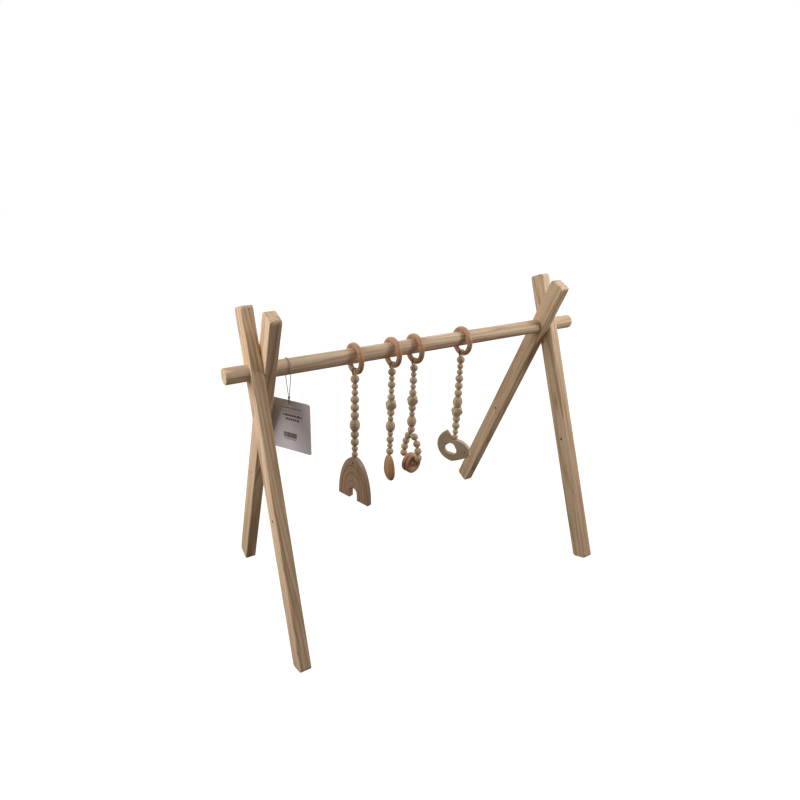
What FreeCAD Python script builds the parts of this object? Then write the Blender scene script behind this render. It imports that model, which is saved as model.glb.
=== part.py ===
"""Wooden activity play gym: two folding A-frames, a round bar and four hanging bead toys.

Frame: +X runs along the bar to the right, +Y to the back, +Z up. The origin is on the
floor under the middle of the bar. All sizes are in millimetres and angles in degrees.
"""
import FreeCAD, Part
import math
import os

Vec = FreeCAD.Vector

# ---------------------------------------------------------------- driving dimensions
# Legs: planed timber, four alike.
LEG_LENGTH = 620.0
LEG_WIDTH = 34.0            # seen from the side, in the plane of the A
LEG_THICK = 21.0            # along the bar
LEG_CORNER = 6.0            # rounding of the foot and head, seen from the side
LEG_EDGE = 1.8              # small rounding of the long edges
LEG_TOP_TO_BAR = 107.0
LEG_TOP_TO_LACE_HOLE = 357.0
LACE_HOLE_D = 6.0
LEG_GAP = 0.6               # between the two legs of one A

# Bar: a beech dowel that leans a little, because the left A stands steeper.
BAR_D = 28.0
BAR_LENGTH = 762.0
BAR_EDGE = 1.5
LEFT_LEAN = 19.5688         # lean of the left A's legs from upright
RIGHT_LEAN = 22.6913        # and of the right A's
STUB_LEFT = 40.0            # bar end past the outer leg
STUB_RIGHT = 49.3
HINGE_CLEARANCE = 0.05      # radial, inner legs on the bar

# Rings that ride on the bar.
RING_OD = 58.0
RING_ID = 40.0
RING_THICK = 9.0
RING_EDGE = 3.2
SEAT_GAP = 0.3              # air between neighbours that move on each other

# Cord and beads.
CORD_D = 2.0
BORE_D = 3.0
BEAD_GAP = 0.3
BEAD_FLAT = 0.25            # taken off both ends of a round bead
RIB_GROOVE_D = 1.7
RIB_LEVELS = (-0.14, 0.03, 0.20, 0.37)  # grooves over the barrel's middle, as shares of its height
FACET_TURN = -17.0          # turn of the faceted bead about the cord
# Two bead sets. L and S are the diameters of the round beads. R, RE and RH are the barrel's
# diameter, end diameter and height. F is the faceted cube's width, and FT how far from its
# middle the planes of its cut corners meet.
BIG_SET = {"L": 16.2, "S": 12.4, "R": 19.8, "RE": 10.7, "RH": 23.4, "F": 18.4, "FT": 19.5}
FINE_SET = {"L": 14.8, "S": 11.3, "R": 19.0, "RE": 10.2, "RH": 21.4, "F": 17.4, "FT": 18.4}

# The four toys: where each hangs on the bar, its beads from the top, its pendant's turn.
TOYS = {
    "rainbow": {"x": -146.0, "beads": "LSSLLLRLLSS", "set": BIG_SET, "turn": -72.0},
    "drop": {"x": -68.0, "beads": "LSLSLFLSRSLSL", "set": FINE_SET, "turn": -96.0},
    "hoop": {"x": -19.0, "beads": "LSLSLFLSRL", "set": FINE_SET, "turn": -76.0},
    "bird": {"x": 92.5, "beads": "LSSLLLRFLLSS", "set": BIG_SET, "turn": -58.0},
}

# Pendants.
NECK = 0.9                  # from the last bead to the pendant
PLATE_EDGE = 1.2
KNOT_D = 4.6
BORE_END_GAP = 0.8          # bore past the end of the cord in it
RAINBOW_WIDTH = 79.0
RAINBOW_HEIGHT = 91.0
RAINBOW_THICK = 11.0
RAINBOW_ARCH_WIDTH = 19.5
RAINBOW_ARCH_HEIGHT = 24.0
RAINBOW_FOOT_CORNER = 3.0
RAINBOW_HOLE_DROP = 10.5    # knot hole under the top
RAINBOW_HOLE_D = 4.0
DROP_LENGTH = 57.0
DROP_WIDTH = 41.0
DROP_THICK = 15.5
DROP_CORD_DEPTH = 9.0
BIRD_THICK = 10.0
BIRD_CORD_DEPTH = 10.0
BIRD_EYE_D = 3.2
BIRD_EYE_X = 26.0           # eye from the cord's line towards the beak
BIRD_EYE_DROP = 23.0        # and under the back
BIRD_HOLE_CORNER = 9.0
HOOP_OD = 40.0
HOOP_ID = 19.0
HOOP_THICK = 9.0
HOOP_EDGE = 2.4
HOOP_GAP = 0.5              # between the two small rings
LOOP_BEADS = 4              # large beads on each side of the loop
LOOP_TOP_FRONT = 12.5       # from the loop's start to the middle of its first bead
LOOP_TOP_BACK = 8.2         # and from its end to the last one
HOOP_SHIFT = 3.5            # small rings' middle, off the cord's line

# Swing tag.
TAG_FROM_LEG = 25.4         # string from the left inner leg, along the bar
TAG_TURN = -57.0
TAG_WIDTH = 84.0
TAG_HEIGHT = 97.0
TAG_THICK = 0.8
TAG_CORNER = 4.0
TAG_TOP_DROP = 61.5         # card's top edge under the bar axis
TAG_HOLE_DROP = 11.0        # string hole under the card's top edge
TAG_HOLE_D = 4.0
STRING_D = 1.4
KNOT_R = 3.0                # knot that ties the string's two ends over the card
KNOT_HEIGHT = 5.0
KNOT_ROUND = 1.35
EYELET_CORNER = 1.2         # bends of the eyelet through the card's hole
STRING_GAP = 0.3            # between the string and the bar
STRING_SLACK = 0.05         # straight left between two bends of the string

OVERCUT = 1.0               # how far a cutter reaches past the face that it cuts

# ---------------------------------------------------------------- derived sizes
BAR_R = BAR_D / 2
LEG_DOWN = LEG_LENGTH - LEG_TOP_TO_BAR - LEG_CORNER     # bar to the middle of the foot's rounding
LEG_SIDE = LEG_WIDTH / 2 - LEG_CORNER
LEG_REACH = math.hypot(LEG_DOWN, LEG_SIDE)
LEG_SKEW = math.degrees(math.atan2(LEG_SIDE, LEG_DOWN))
BAR_HEIGHT_LEFT = LEG_CORNER + LEG_REACH * math.cos(math.radians(LEFT_LEAN - LEG_SKEW))
BAR_HEIGHT_RIGHT = LEG_CORNER + LEG_REACH * math.cos(math.radians(RIGHT_LEAN - LEG_SKEW))
LEFT_OUTER_S = -BAR_LENGTH / 2 + STUB_LEFT + LEG_THICK / 2
LEFT_INNER_S = LEFT_OUTER_S + LEG_THICK + LEG_GAP
RIGHT_OUTER_S = BAR_LENGTH / 2 - STUB_RIGHT - LEG_THICK / 2
RIGHT_INNER_S = RIGHT_OUTER_S - LEG_THICK - LEG_GAP
LEFT_S = (LEFT_OUTER_S + LEFT_INNER_S) / 2
RIGHT_S = (RIGHT_OUTER_S + RIGHT_INNER_S) / 2
BAR_TILT = math.degrees(math.asin((BAR_HEIGHT_LEFT - BAR_HEIGHT_RIGHT) / (RIGHT_S - LEFT_S)))
SIN_TILT = math.sin(math.radians(BAR_TILT))
COS_TILT = math.cos(math.radians(BAR_TILT))
BAR_MID_HEIGHT = BAR_HEIGHT_LEFT + LEFT_S * SIN_TILT
TAG_X = LEFT_INNER_S + LEG_THICK / 2 + TAG_FROM_LEG
RING_CENTRE_DROP = RING_ID / 2 - BAR_R - SEAT_GAP
PIVOT_DROP = RING_CENTRE_DROP + RING_OD / 2 + SEAT_GAP + CORD_D


def bar_height(x):
    """Height of the bar's axis over the floor at x."""
    return BAR_MID_HEIGHT - x * SIN_TILT / COS_TILT


def lean_of_leg(along):
    """Lean from upright that lets the leg at this place on the bar just touch the floor."""
    height = (BAR_MID_HEIGHT - along * SIN_TILT - LEG_THICK / 2 * SIN_TILT) / COS_TILT
    return math.degrees(math.acos((height - LEG_CORNER) / LEG_REACH)) + LEG_SKEW


def save(name, *solids):
    """Write one sub-part, made of one or more separate solids."""
    shape = solids[0] if len(solids) == 1 else Part.makeCompound(list(solids))
    shape.exportStep(os.path.join("parts", name + ".step"))


def cylinder_x(radius, length, x=0.0):
    """Cylinder along X, centred on x."""
    return Part.makeCylinder(radius, length, Vec(x - length / 2, 0, 0), Vec(1, 0, 0))


def fillet_edges(solid, radius, wanted):
    """Round the edges for which wanted(edge) is true."""
    return solid.makeFillet(radius, [edge for edge in solid.Edges if wanted(edge)])


def lean_to_world(solid):
    """Take a piece from the level bar's frame to its place on the leaning bar."""
    solid.rotate(Vec(0, 0, 0), Vec(0, 1, 0), BAR_TILT)
    solid.translate(Vec(0, 0, BAR_MID_HEIGHT))
    return solid


def route(points, radii, closed=False):
    """Wire of straight runs through the points, each corner rounded by a tangent arc."""
    count = len(points)
    edges = []
    last = None
    first = None
    corners = range(count) if closed else range(1, count - 1)
    for number, i in enumerate(corners):
        corner = points[i]
        to_start = (points[i - 1] - corner).normalize()
        to_end = (points[(i + 1) % count] - corner).normalize()
        turn = math.pi - to_start.getAngle(to_end)
        reach = radii[number] * math.tan(turn / 2)
        start = corner + to_start * reach
        end = corner + to_end * reach
        inward = (to_start + to_end).normalize()
        middle = corner + inward * (radii[number] / math.cos(turn / 2) - radii[number])
        if last is None:
            first = start
            if not closed:
                edges.append(Part.LineSegment(points[0], start).toShape())
        elif last.distanceToPoint(start) > 1e-6:
            edges.append(Part.LineSegment(last, start).toShape())
        edges.append(Part.Arc(start, middle, end).toShape())
        last = end
    edges.append(Part.LineSegment(last, first if closed else points[-1]).toShape())
    return Part.Wire(edges)


def tube(wire, diameter):
    """Round cord along a wire."""
    edge = wire.Edges[0]
    start = edge.valueAt(edge.FirstParameter)
    tangent = edge.tangentAt(edge.FirstParameter)
    section = Part.Wire(Part.makeCircle(diameter / 2, start, tangent))
    return wire.makePipeShell([section], True, False, 2)


def along(wire, distance):
    """Point and direction at a distance along a wire."""
    for edge in wire.OrderedEdges:
        if distance <= edge.Length or edge.isSame(wire.OrderedEdges[-1]):
            step = edge.getParameterByLength(distance)
            if edge.Orientation == "Reversed":
                step = edge.getParameterByLength(edge.Length - distance)
                return edge.valueAt(step), edge.tangentAt(step) * -1
            return edge.valueAt(step), edge.tangentAt(step)
        distance -= edge.Length
    return None


# ---------------------------------------------------------------- stand
def leg(lean, bore_radius):
    """One leg in the level bar's frame, its foot towards -Y for a positive lean."""
    body = Part.makeBox(LEG_THICK, LEG_WIDTH, LEG_LENGTH,
                        Vec(-LEG_THICK / 2, -LEG_WIDTH / 2, LEG_TOP_TO_BAR - LEG_LENGTH))
    body = fillet_edges(body, LEG_CORNER, lambda e: e.BoundBox.XLength > LEG_THICK - 0.1)
    body = body.cut(cylinder_x(bore_radius, LEG_THICK + 2 * OVERCUT))
    lace_hole = cylinder_x(LACE_HOLE_D / 2, LEG_THICK + 2 * OVERCUT)
    lace_hole.translate(Vec(0, 0, LEG_TOP_TO_BAR - LEG_TOP_TO_LACE_HOLE))
    body = body.cut(lace_hole)
    outline = [face for face in body.Faces if abs(abs(face.CenterOfMass.x) - LEG_THICK / 2) < 0.01]
    rim = [edge for face in outline for edge in face.OuterWire.Edges]
    body = body.makeFillet(LEG_EDGE, rim)
    body.rotate(Vec(0, 0, 0), Vec(1, 0, 0), -lean)
    return body


def make_stand():
    """The bar and the four legs."""
    bar = cylinder_x(BAR_R, BAR_LENGTH)
    bar = bar.makeFillet(BAR_EDGE, bar.Edges[:1] + bar.Edges[2:])
    save("bar", lean_to_world(bar))
    legs = {"left_outer_leg": (LEFT_OUTER_S, 1, 0.0),
            "left_inner_leg": (LEFT_INNER_S, -1, HINGE_CLEARANCE),
            "right_outer_leg": (RIGHT_OUTER_S, 1, 0.0),
            "right_inner_leg": (RIGHT_INNER_S, -1, HINGE_CLEARANCE)}
    for name, (place, side, clearance) in legs.items():
        piece = leg(side * lean_of_leg(place), BAR_R + clearance)
        piece.translate(Vec(place, 0, 0))
        save(name, lean_to_world(piece))


# ---------------------------------------------------------------- rings, loops and beads
def flat_ring(outer, inner, thick, edge):
    """Ring about X with rounded edges, centred on the origin."""
    ring = cylinder_x(outer / 2, thick).cut(cylinder_x(inner / 2, thick + 2 * OVERCUT))
    circles = [e for e in ring.Edges if e.Closed and e.BoundBox.XLength < 0.01]
    return ring.makeFillet(edge, circles)


def ring_cord():
    """Closed loop of cord round the bottom of a bar ring; the origin is the ring's centre."""
    radius = CORD_D / 2 + SEAT_GAP
    half = RING_THICK / 2 + radius
    top = -RING_ID / 2 + radius
    bottom = -RING_OD / 2 - radius
    corner = RING_EDGE + radius
    points = [Vec(-half, 0, top), Vec(half, 0, top), Vec(half, 0, bottom), Vec(-half, 0, bottom)]
    return tube(route(points, [corner] * 4, closed=True), CORD_D)


def round_bead(diameter):
    """Round bead, bored along Z and a little flat at both ends."""
    height = diameter - 2 * BEAD_FLAT
    ball = Part.makeSphere(diameter / 2)
    ball = ball.common(Part.makeCylinder(diameter, height, Vec(0, 0, -height / 2)))
    return ball.cut(Part.makeCylinder(BORE_D / 2, diameter, Vec(0, 0, -diameter / 2)))


def ribbed_bead(diameter, end_diameter, height):
    """Barrel bead with turned grooves."""
    end = end_diameter / 2
    side = Part.Arc(Vec(end, 0, height / 2), Vec(diameter / 2, 0, 0), Vec(end, 0, -height / 2))
    outline = Part.Wire([Part.LineSegment(Vec(0, 0, -height / 2), Vec(0, 0, height / 2)).toShape(),
                         Part.LineSegment(Vec(0, 0, height / 2), Vec(end, 0, height / 2)).toShape(),
                         side.toShape(),
                         Part.LineSegment(Vec(end, 0, -height / 2), Vec(0, 0, -height / 2)).toShape()])
    barrel = Part.Face(outline).revolve(Vec(0, 0, 0), Vec(0, 0, 1), 360)
    bulge = diameter / 2 - end
    radius = (height ** 2 / 4 + bulge ** 2) / (2 * bulge)
    for share in RIB_LEVELS:
        level = share * height
        reach = diameter / 2 - radius + math.sqrt(radius ** 2 - level ** 2)
        barrel = barrel.cut(Part.makeTorus(reach, RIB_GROOVE_D / 2, Vec(0, 0, level)))
    return barrel.cut(Part.makeCylinder(BORE_D / 2, height + 2 * OVERCUT, Vec(0, 0, -height / 2 - OVERCUT)))


def faceted_bead(width, reach):
    """Cube bead with its eight corners cut off by planes that meet at reach on the axes."""
    cube = Part.makeBox(width, width, width, Vec(-width / 2, -width / 2, -width / 2))
    faces = []
    for sx in (-1, 1):
        for sy in (-1, 1):
            for sz in (-1, 1):
                tips = [Vec(sx * reach, 0, 0), Vec(0, sy * reach, 0), Vec(0, 0, sz * reach)]
                faces.append(Part.Face(Part.makePolygon(tips + tips[:1])))
    bead = cube.common(Part.Solid(Part.Shell(faces)))
    bead.rotate(Vec(0, 0, 0), Vec(0, 0, 1), FACET_TURN)
    return bead.cut(Part.makeCylinder(BORE_D / 2, width + 2 * OVERCUT, Vec(0, 0, -width / 2 - OVERCUT)))


def bead_height(kind, sizes):
    """Height of one bead of the set along its cord."""
    if kind == "R":
        return sizes["RH"]
    if kind == "F":
        return sizes["F"]
    return sizes[kind] - 2 * BEAD_FLAT


def make_bead(kind, sizes):
    """One bead of the set, centred on the origin, its bore along Z."""
    if kind == "R":
        return ribbed_bead(sizes["R"], sizes["RE"], sizes["RH"])
    if kind == "F":
        return faceted_bead(sizes["F"], sizes["FT"])
    return round_bead(sizes[kind])


BEAD_NAMES = {"L": "large_beads", "S": "small_beads", "R": "ribbed_bead", "F": "faceted_bead"}


def pivot_height(toy):
    """Height of the point where a bead string hangs from its cord loop."""
    return bar_height(toy["x"]) - PIVOT_DROP


def string_bottom(toy):
    """Height of the lowest bead's lower end."""
    total = sum(bead_height(kind, toy["set"]) + BEAD_GAP for kind in toy["beads"])
    return pivot_height(toy) - total


def make_string(name, toy):
    """Bar ring, cord loop, string of beads and the cord through them."""
    x = toy["x"]
    ring = flat_ring(RING_OD, RING_ID, RING_THICK, RING_EDGE)
    loop = ring_cord()
    centre = Vec(x, 0, bar_height(x) - RING_CENTRE_DROP)
    for piece in (ring, loop):
        piece.translate(centre)
    save(name + "_bar_ring", ring)
    save(name + "_ring_cord", loop)
    groups = {}
    level = pivot_height(toy)
    for kind in toy["beads"]:
        height = bead_height(kind, toy["set"])
        bead = make_bead(kind, toy["set"])
        bead.translate(Vec(x, 0, level - BEAD_GAP - height / 2))
        groups.setdefault(kind, []).append(bead)
        level -= height + BEAD_GAP
    for kind, beads in groups.items():
        save(name + "_" + BEAD_NAMES[kind], *beads)


def string_cord(toy, bottom):
    """Straight cord through the beads; its top clears the cord loop as the string swings."""
    length = pivot_height(toy) - SEAT_GAP - bottom
    return Part.makeCylinder(CORD_D / 2, length, Vec(toy["x"], 0, bottom))


def cord_with_knot(toy, bottom):
    """String cord that ends in a round knot inside the pendant."""
    return string_cord(toy, bottom).fuse(Part.makeSphere(KNOT_D / 2, Vec(toy["x"], 0, bottom)))


def place_pendant(piece, toy, height):
    """Turn a pendant made in the XZ plane about the cord and hang it at a height."""
    piece.rotate(Vec(0, 0, 0), Vec(0, 0, 1), toy["turn"])
    piece.translate(Vec(toy["x"], 0, height))
    return piece


def plate(outline, thick):
    """Plate of the given thickness, centred on the XZ plane, from a closed outline."""
    blank = Part.Face(outline).extrude(Vec(0, thick, 0))
    blank.translate(Vec(0, -thick / 2, 0))
    return blank


def rim_edges(solid, thick):
    """Edges of both flat faces of a plate."""
    return [e for e in solid.Edges
            if e.BoundBox.YLength < 0.01 and abs(abs(e.CenterOfMass.y) - thick / 2) < 0.01]


# ---------------------------------------------------------------- pendants
def rainbow_plate():
    """Arch-shaped plate; the origin is its top, on the cord's line."""
    half = RAINBOW_WIDTH / 2
    low = -RAINBOW_HEIGHT
    crown = Part.Face(Part.Wire(Part.Ellipse(Vec(0, 0, 0), RAINBOW_HEIGHT, half).toShape()))
    crown.rotate(Vec(0, 0, 0), Vec(0, 0, 1), 90)
    crown.rotate(Vec(0, 0, 0), Vec(1, 0, 0), 90)
    crown.translate(Vec(0, RAINBOW_THICK / 2, low))
    body = crown.extrude(Vec(0, -RAINBOW_THICK, 0))
    keep = Part.makeBox(RAINBOW_WIDTH + 2 * OVERCUT, RAINBOW_THICK + 2 * OVERCUT, RAINBOW_HEIGHT + OVERCUT,
                        Vec(-half - OVERCUT, -RAINBOW_THICK / 2 - OVERCUT, low))
    body = body.common(keep)
    arch_r = RAINBOW_ARCH_WIDTH / 2
    spring = low + RAINBOW_ARCH_HEIGHT - arch_r
    through = RAINBOW_THICK + 2 * OVERCUT
    front = -RAINBOW_THICK / 2 - OVERCUT
    opening = Part.makeBox(RAINBOW_ARCH_WIDTH, through, RAINBOW_ARCH_HEIGHT - arch_r + OVERCUT,
                           Vec(-arch_r, front, low - OVERCUT))
    head = Part.makeCylinder(arch_r, through, Vec(0, front, spring), Vec(0, 1, 0))
    body = body.cut(opening.fuse(head))
    body = fillet_edges(body, RAINBOW_FOOT_CORNER,
                        lambda e: e.BoundBox.YLength > RAINBOW_THICK - 0.1
                        and e.BoundBox.ZMax < low + 0.1)
    body = body.makeFillet(PLATE_EDGE, rim_edges(body, RAINBOW_THICK))
    knot_hole = Part.makeCylinder(RAINBOW_HOLE_D / 2, through, Vec(0, front, -RAINBOW_HOLE_DROP),
                                  Vec(0, 1, 0))
    pocket = Part.makeSphere(KNOT_D / 2 + SEAT_GAP, Vec(0, 0, -RAINBOW_HOLE_DROP))
    cord_bore = Part.makeCylinder(BORE_D / 2, RAINBOW_HOLE_DROP + OVERCUT,
                                  Vec(0, 0, -RAINBOW_HOLE_DROP))
    return body.cut(knot_hole).cut(cord_bore).cut(pocket)


def drop_pebble():
    """Flat egg-shaped pebble with a blind bore for the cord; the origin is its top."""
    half = DROP_WIDTH / 2
    upper = DROP_LENGTH - half
    ball = Part.makeSphere(half, Vec(0, 0, -upper))
    side = DROP_WIDTH + 2 * OVERCUT
    lower = ball.common(Part.makeBox(side, side, half + OVERCUT,
                                     Vec(-side / 2, -side / 2, -DROP_LENGTH - OVERCUT)))
    stretch = FreeCAD.Matrix()
    stretch.scale(1, 1, upper / half)
    top = Part.makeSphere(half).transformGeometry(stretch)
    top.translate(Vec(0, 0, -upper))
    top = top.common(Part.makeBox(side, side, upper + OVERCUT, Vec(-side / 2, -side / 2, -upper)))
    squash = FreeCAD.Matrix()
    squash.scale(1, DROP_THICK / DROP_WIDTH, 1)
    pebble = lower.fuse(top).transformGeometry(squash)
    bore = Part.makeCylinder(BORE_D / 2, DROP_CORD_DEPTH + OVERCUT, Vec(0, 0, -DROP_CORD_DEPTH))
    pocket = Part.makeSphere(KNOT_D / 2 + SEAT_GAP, Vec(0, 0, -DROP_CORD_DEPTH))
    return pebble.cut(bore).cut(pocket)


def bird_plate():
    """Bird-shaped plate with a finger hole; the origin is on the back, under the cord."""
    tail = Vec(-18.5, 0, 18.0)
    notch = Vec(-3.2, 0, -0.2)
    rump = Vec(-36.8, 0, -20.0)
    belly = Vec(-1.5, 0, -50.5)
    breast = Vec(19.0, 0, -41.0)
    beak = Vec(37.5, 0, -27.8)
    throat = Vec(34.6, 0, -22.5)
    brow = Vec(34.2, 0, -14.6)
    back = Vec(21.0, 0, -2.6)
    outline = Part.Wire([Part.Arc(tail, rump, belly).toShape(),
                         Part.Arc(belly, breast, beak).toShape(),
                         Part.LineSegment(beak, throat).toShape(),
                         Part.LineSegment(throat, brow).toShape(),
                         Part.Arc(brow, back, notch).toShape(),
                         Part.LineSegment(notch, tail).toShape()])
    body = plate(outline, BIRD_THICK)
    corners = [Vec(-3.8, 0, -2.5), Vec(-31.5, 0, -31.0), Vec(13.5, 0, -36.0)]
    finger = plate(Part.makePolygon(corners + corners[:1]), BIRD_THICK + 2 * OVERCUT)
    finger = fillet_edges(finger, BIRD_HOLE_CORNER, lambda e: e.BoundBox.YLength > BIRD_THICK)
    body = body.cut(finger)
    eye = Part.makeCylinder(BIRD_EYE_D / 2, BIRD_THICK + 2 * OVERCUT,
                            Vec(BIRD_EYE_X, -BIRD_THICK / 2 - OVERCUT, -BIRD_EYE_DROP), Vec(0, 1, 0))
    bore_depth = BIRD_CORD_DEPTH + BORE_END_GAP
    cord_bore = Part.makeCylinder(BORE_D / 2, bore_depth + OVERCUT, Vec(0, 0, -bore_depth))
    body = body.makeFillet(PLATE_EDGE, rim_edges(body, BIRD_THICK))
    return body.cut(eye).cut(cord_bore)


# Hand-laid route of the hoop toy's loop, in the XZ plane under its pivot, and its bends.
LOOP_POINTS = [Vec(0, 0, 1.2), Vec(13.0, 0, -7.0), Vec(19.0, 0, -26.0), Vec(23.0, 0, -48.0),
               Vec(13.0, 0, -57.0), Vec(-12.0, 0, -57.0), Vec(-19.0, 0, -52.0),
               Vec(-15.0, 0, -27.0), Vec(-9.5, 0, -9.0)]
LOOP_RADII = [3.0, 14.0, 30.0, 6.5, 9.0, 6.0, 5.0, 40.0, 20.0]
LOOP_LOW = min(point.z for point in LOOP_POINTS)


def beads_on_loop(wire, start, step, count, diameter):
    """Round beads threaded on a wire, the first one a distance from its start."""
    beads = []
    for i in range(count):
        point, direction = along(wire, start + i * step)
        bead = round_bead(diameter)
        bead.Placement = FreeCAD.Placement(point, FreeCAD.Rotation(Vec(0, 0, 1), direction))
        beads.append(bead)
    return beads


def make_rainbow(toy):
    """Rainbow pendant on the first toy."""
    top = string_bottom(toy) - NECK
    save("rainbow_plate", place_pendant(rainbow_plate(), toy, top))
    save("rainbow_string_cord", cord_with_knot(toy, top - RAINBOW_HOLE_DROP))


def make_drop(toy):
    """Egg-shaped pebble on the second toy."""
    top = string_bottom(toy) - NECK
    save("drop_pebble", place_pendant(drop_pebble(), toy, top))
    save("drop_string_cord", cord_with_knot(toy, top - DROP_CORD_DEPTH))


def make_hoop(toy):
    """Bead loop and two small rings on the third toy."""
    top = string_bottom(toy) - NECK - CORD_D / 2
    wire = route(LOOP_POINTS, LOOP_RADII, closed=True)
    cord = tube(wire, CORD_D)
    bead = toy["set"]["L"]
    step = bead + BEAD_GAP
    back_start = wire.Length - LOOP_TOP_BACK - (LOOP_BEADS - 1) * step
    beads = [piece for start in (LOOP_TOP_FRONT, back_start)
             for piece in beads_on_loop(wire, start, step, LOOP_BEADS, bead)]
    save("hoop_loop_cord", place_pendant(cord, toy, top))
    save("hoop_loop_large_beads", *[place_pendant(piece, toy, top) for piece in beads])
    hang = LOOP_LOW + CORD_D / 2 + SEAT_GAP - HOOP_ID / 2
    for number, side in (("front", 1), ("back", -1)):
        ring = flat_ring(HOOP_OD, HOOP_ID, HOOP_THICK, HOOP_EDGE)
        ring.translate(Vec(HOOP_SHIFT + side * (HOOP_THICK + HOOP_GAP) / 2, 0, hang))
        save("hoop_%s_ring" % number, place_pendant(ring, toy, top))
    save("hoop_string_cord", string_cord(toy, string_bottom(toy)))


def make_bird(toy):
    """Bird pendant on the fourth toy."""
    top = string_bottom(toy) - NECK
    save("bird_plate", place_pendant(bird_plate(), toy, top))
    save("bird_string_cord", string_cord(toy, top - BIRD_CORD_DEPTH))


# ---------------------------------------------------------------- swing tag
# Hand-laid route of the tag's string about the bar's axis: up, over the bar and down again.
STRING_POINTS = [Vec(0, -2.2, -54.0), Vec(0, -17.0, 6.5), Vec(0, 0, 18.2), Vec(0, 17.0, 6.5),
                 Vec(0, 2.2, -54.0)]


def make_tag():
    """Card on a loop of thin string over the bar, beside the left inner leg."""
    axis = bar_height(TAG_X)
    card = Part.makeBox(TAG_WIDTH, TAG_THICK, TAG_HEIGHT,
                        Vec(-TAG_WIDTH / 2, -TAG_THICK / 2, -TAG_TOP_DROP - TAG_HEIGHT))
    card = fillet_edges(card, TAG_CORNER, lambda e: e.BoundBox.YLength > TAG_THICK / 2)
    hole = -TAG_TOP_DROP - TAG_HOLE_DROP
    card = card.cut(Part.makeCylinder(TAG_HOLE_D / 2, TAG_THICK + 2 * OVERCUT,
                                      Vec(0, -TAG_THICK / 2 - OVERCUT, hole), Vec(0, 1, 0)))
    card.rotate(Vec(0, 0, 0), Vec(0, 0, 1), TAG_TURN)
    card.translate(Vec(TAG_X, 0, axis))
    save("tag_card", card)
    side = BAR_R + STRING_GAP + STRING_D / 2
    string = tube(route(STRING_POINTS, [side - STRING_SLACK] * 3), STRING_D)
    string.translate(Vec(TAG_X, 0, axis))
    save("tag_string", string)
    knot_low = hole - TAG_HOLE_D / 2 + STRING_D / 2
    foot = STRING_POINTS[0].z
    knot = Part.makeCylinder(KNOT_R, KNOT_HEIGHT, Vec(0, 0, foot - KNOT_HEIGHT))
    knot = knot.makeFillet(KNOT_ROUND, [edge for edge in knot.Edges if edge.Closed])
    reach = TAG_THICK / 2 + SEAT_GAP + STRING_D / 2
    top = foot - KNOT_HEIGHT + STRING_D / 2
    eyelet = [Vec(0, -reach, top), Vec(0, reach, top), Vec(0, reach, knot_low), Vec(0, -reach, knot_low)]
    loop = tube(route(eyelet, [EYELET_CORNER] * 4, closed=True), STRING_D)
    knot = knot.fuse(loop)
    knot.rotate(Vec(0, 0, 0), Vec(0, 0, 1), TAG_TURN)
    knot.translate(Vec(TAG_X, 0, axis))
    save("tag_knot", knot)


os.makedirs("parts", exist_ok=True)
make_stand()
for toy_name, toy_sizes in TOYS.items():
    make_string(toy_name, toy_sizes)
make_rainbow(TOYS["rainbow"])
make_drop(TOYS["drop"])
make_hoop(TOYS["hoop"])
make_bird(TOYS["bird"])
make_tag()
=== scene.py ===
"""Wooden activity play gym: fine pieces, finishes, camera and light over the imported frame.

Sizes are in millimetres unless a name says otherwise, and a piece is scaled to metres
when it is put in its place. +X runs along the bar, +Y to the back and +Z up.
"""
import bisect
import itertools
import logging
import math
import random
from dataclasses import dataclass
from enum import Enum
from typing import Callable, Sequence

import bmesh
import bpy
from mathutils import Matrix, Vector


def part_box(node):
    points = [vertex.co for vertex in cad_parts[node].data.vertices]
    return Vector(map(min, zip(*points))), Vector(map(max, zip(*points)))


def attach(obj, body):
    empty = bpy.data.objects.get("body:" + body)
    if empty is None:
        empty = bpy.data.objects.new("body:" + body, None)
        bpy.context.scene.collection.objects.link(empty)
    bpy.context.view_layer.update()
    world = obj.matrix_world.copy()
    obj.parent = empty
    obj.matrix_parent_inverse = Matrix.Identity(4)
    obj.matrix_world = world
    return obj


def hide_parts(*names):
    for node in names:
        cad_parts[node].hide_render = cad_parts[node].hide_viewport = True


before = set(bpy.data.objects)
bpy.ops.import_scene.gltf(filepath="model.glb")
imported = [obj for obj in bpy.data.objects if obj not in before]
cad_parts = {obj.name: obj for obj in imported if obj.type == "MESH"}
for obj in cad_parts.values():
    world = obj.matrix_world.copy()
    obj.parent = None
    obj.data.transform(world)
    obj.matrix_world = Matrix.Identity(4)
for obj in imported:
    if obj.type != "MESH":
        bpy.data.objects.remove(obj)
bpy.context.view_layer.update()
LOG = logging.getLogger("play_gym")
MM = 0.001
Colour = tuple[float, float, float, float]
Point = tuple[float, float, float]
Flat = tuple[float, float]


def linear(colour: str) -> Colour:
    """Turn an sRGB hex colour such as "c8a27a" to linear.

    Args:
        colour: Six hex digits.

    Returns:
        Linear red, green, blue and a full alpha.
    """
    shares = [int(colour[i:i + 2], 16) / 255 for i in (0, 2, 4)]
    bent = [s / 12.92 if s <= 0.04045 else ((s + 0.055) / 1.055) ** 2.4 for s in shares]
    return bent[0], bent[1], bent[2], 1.0


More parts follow.
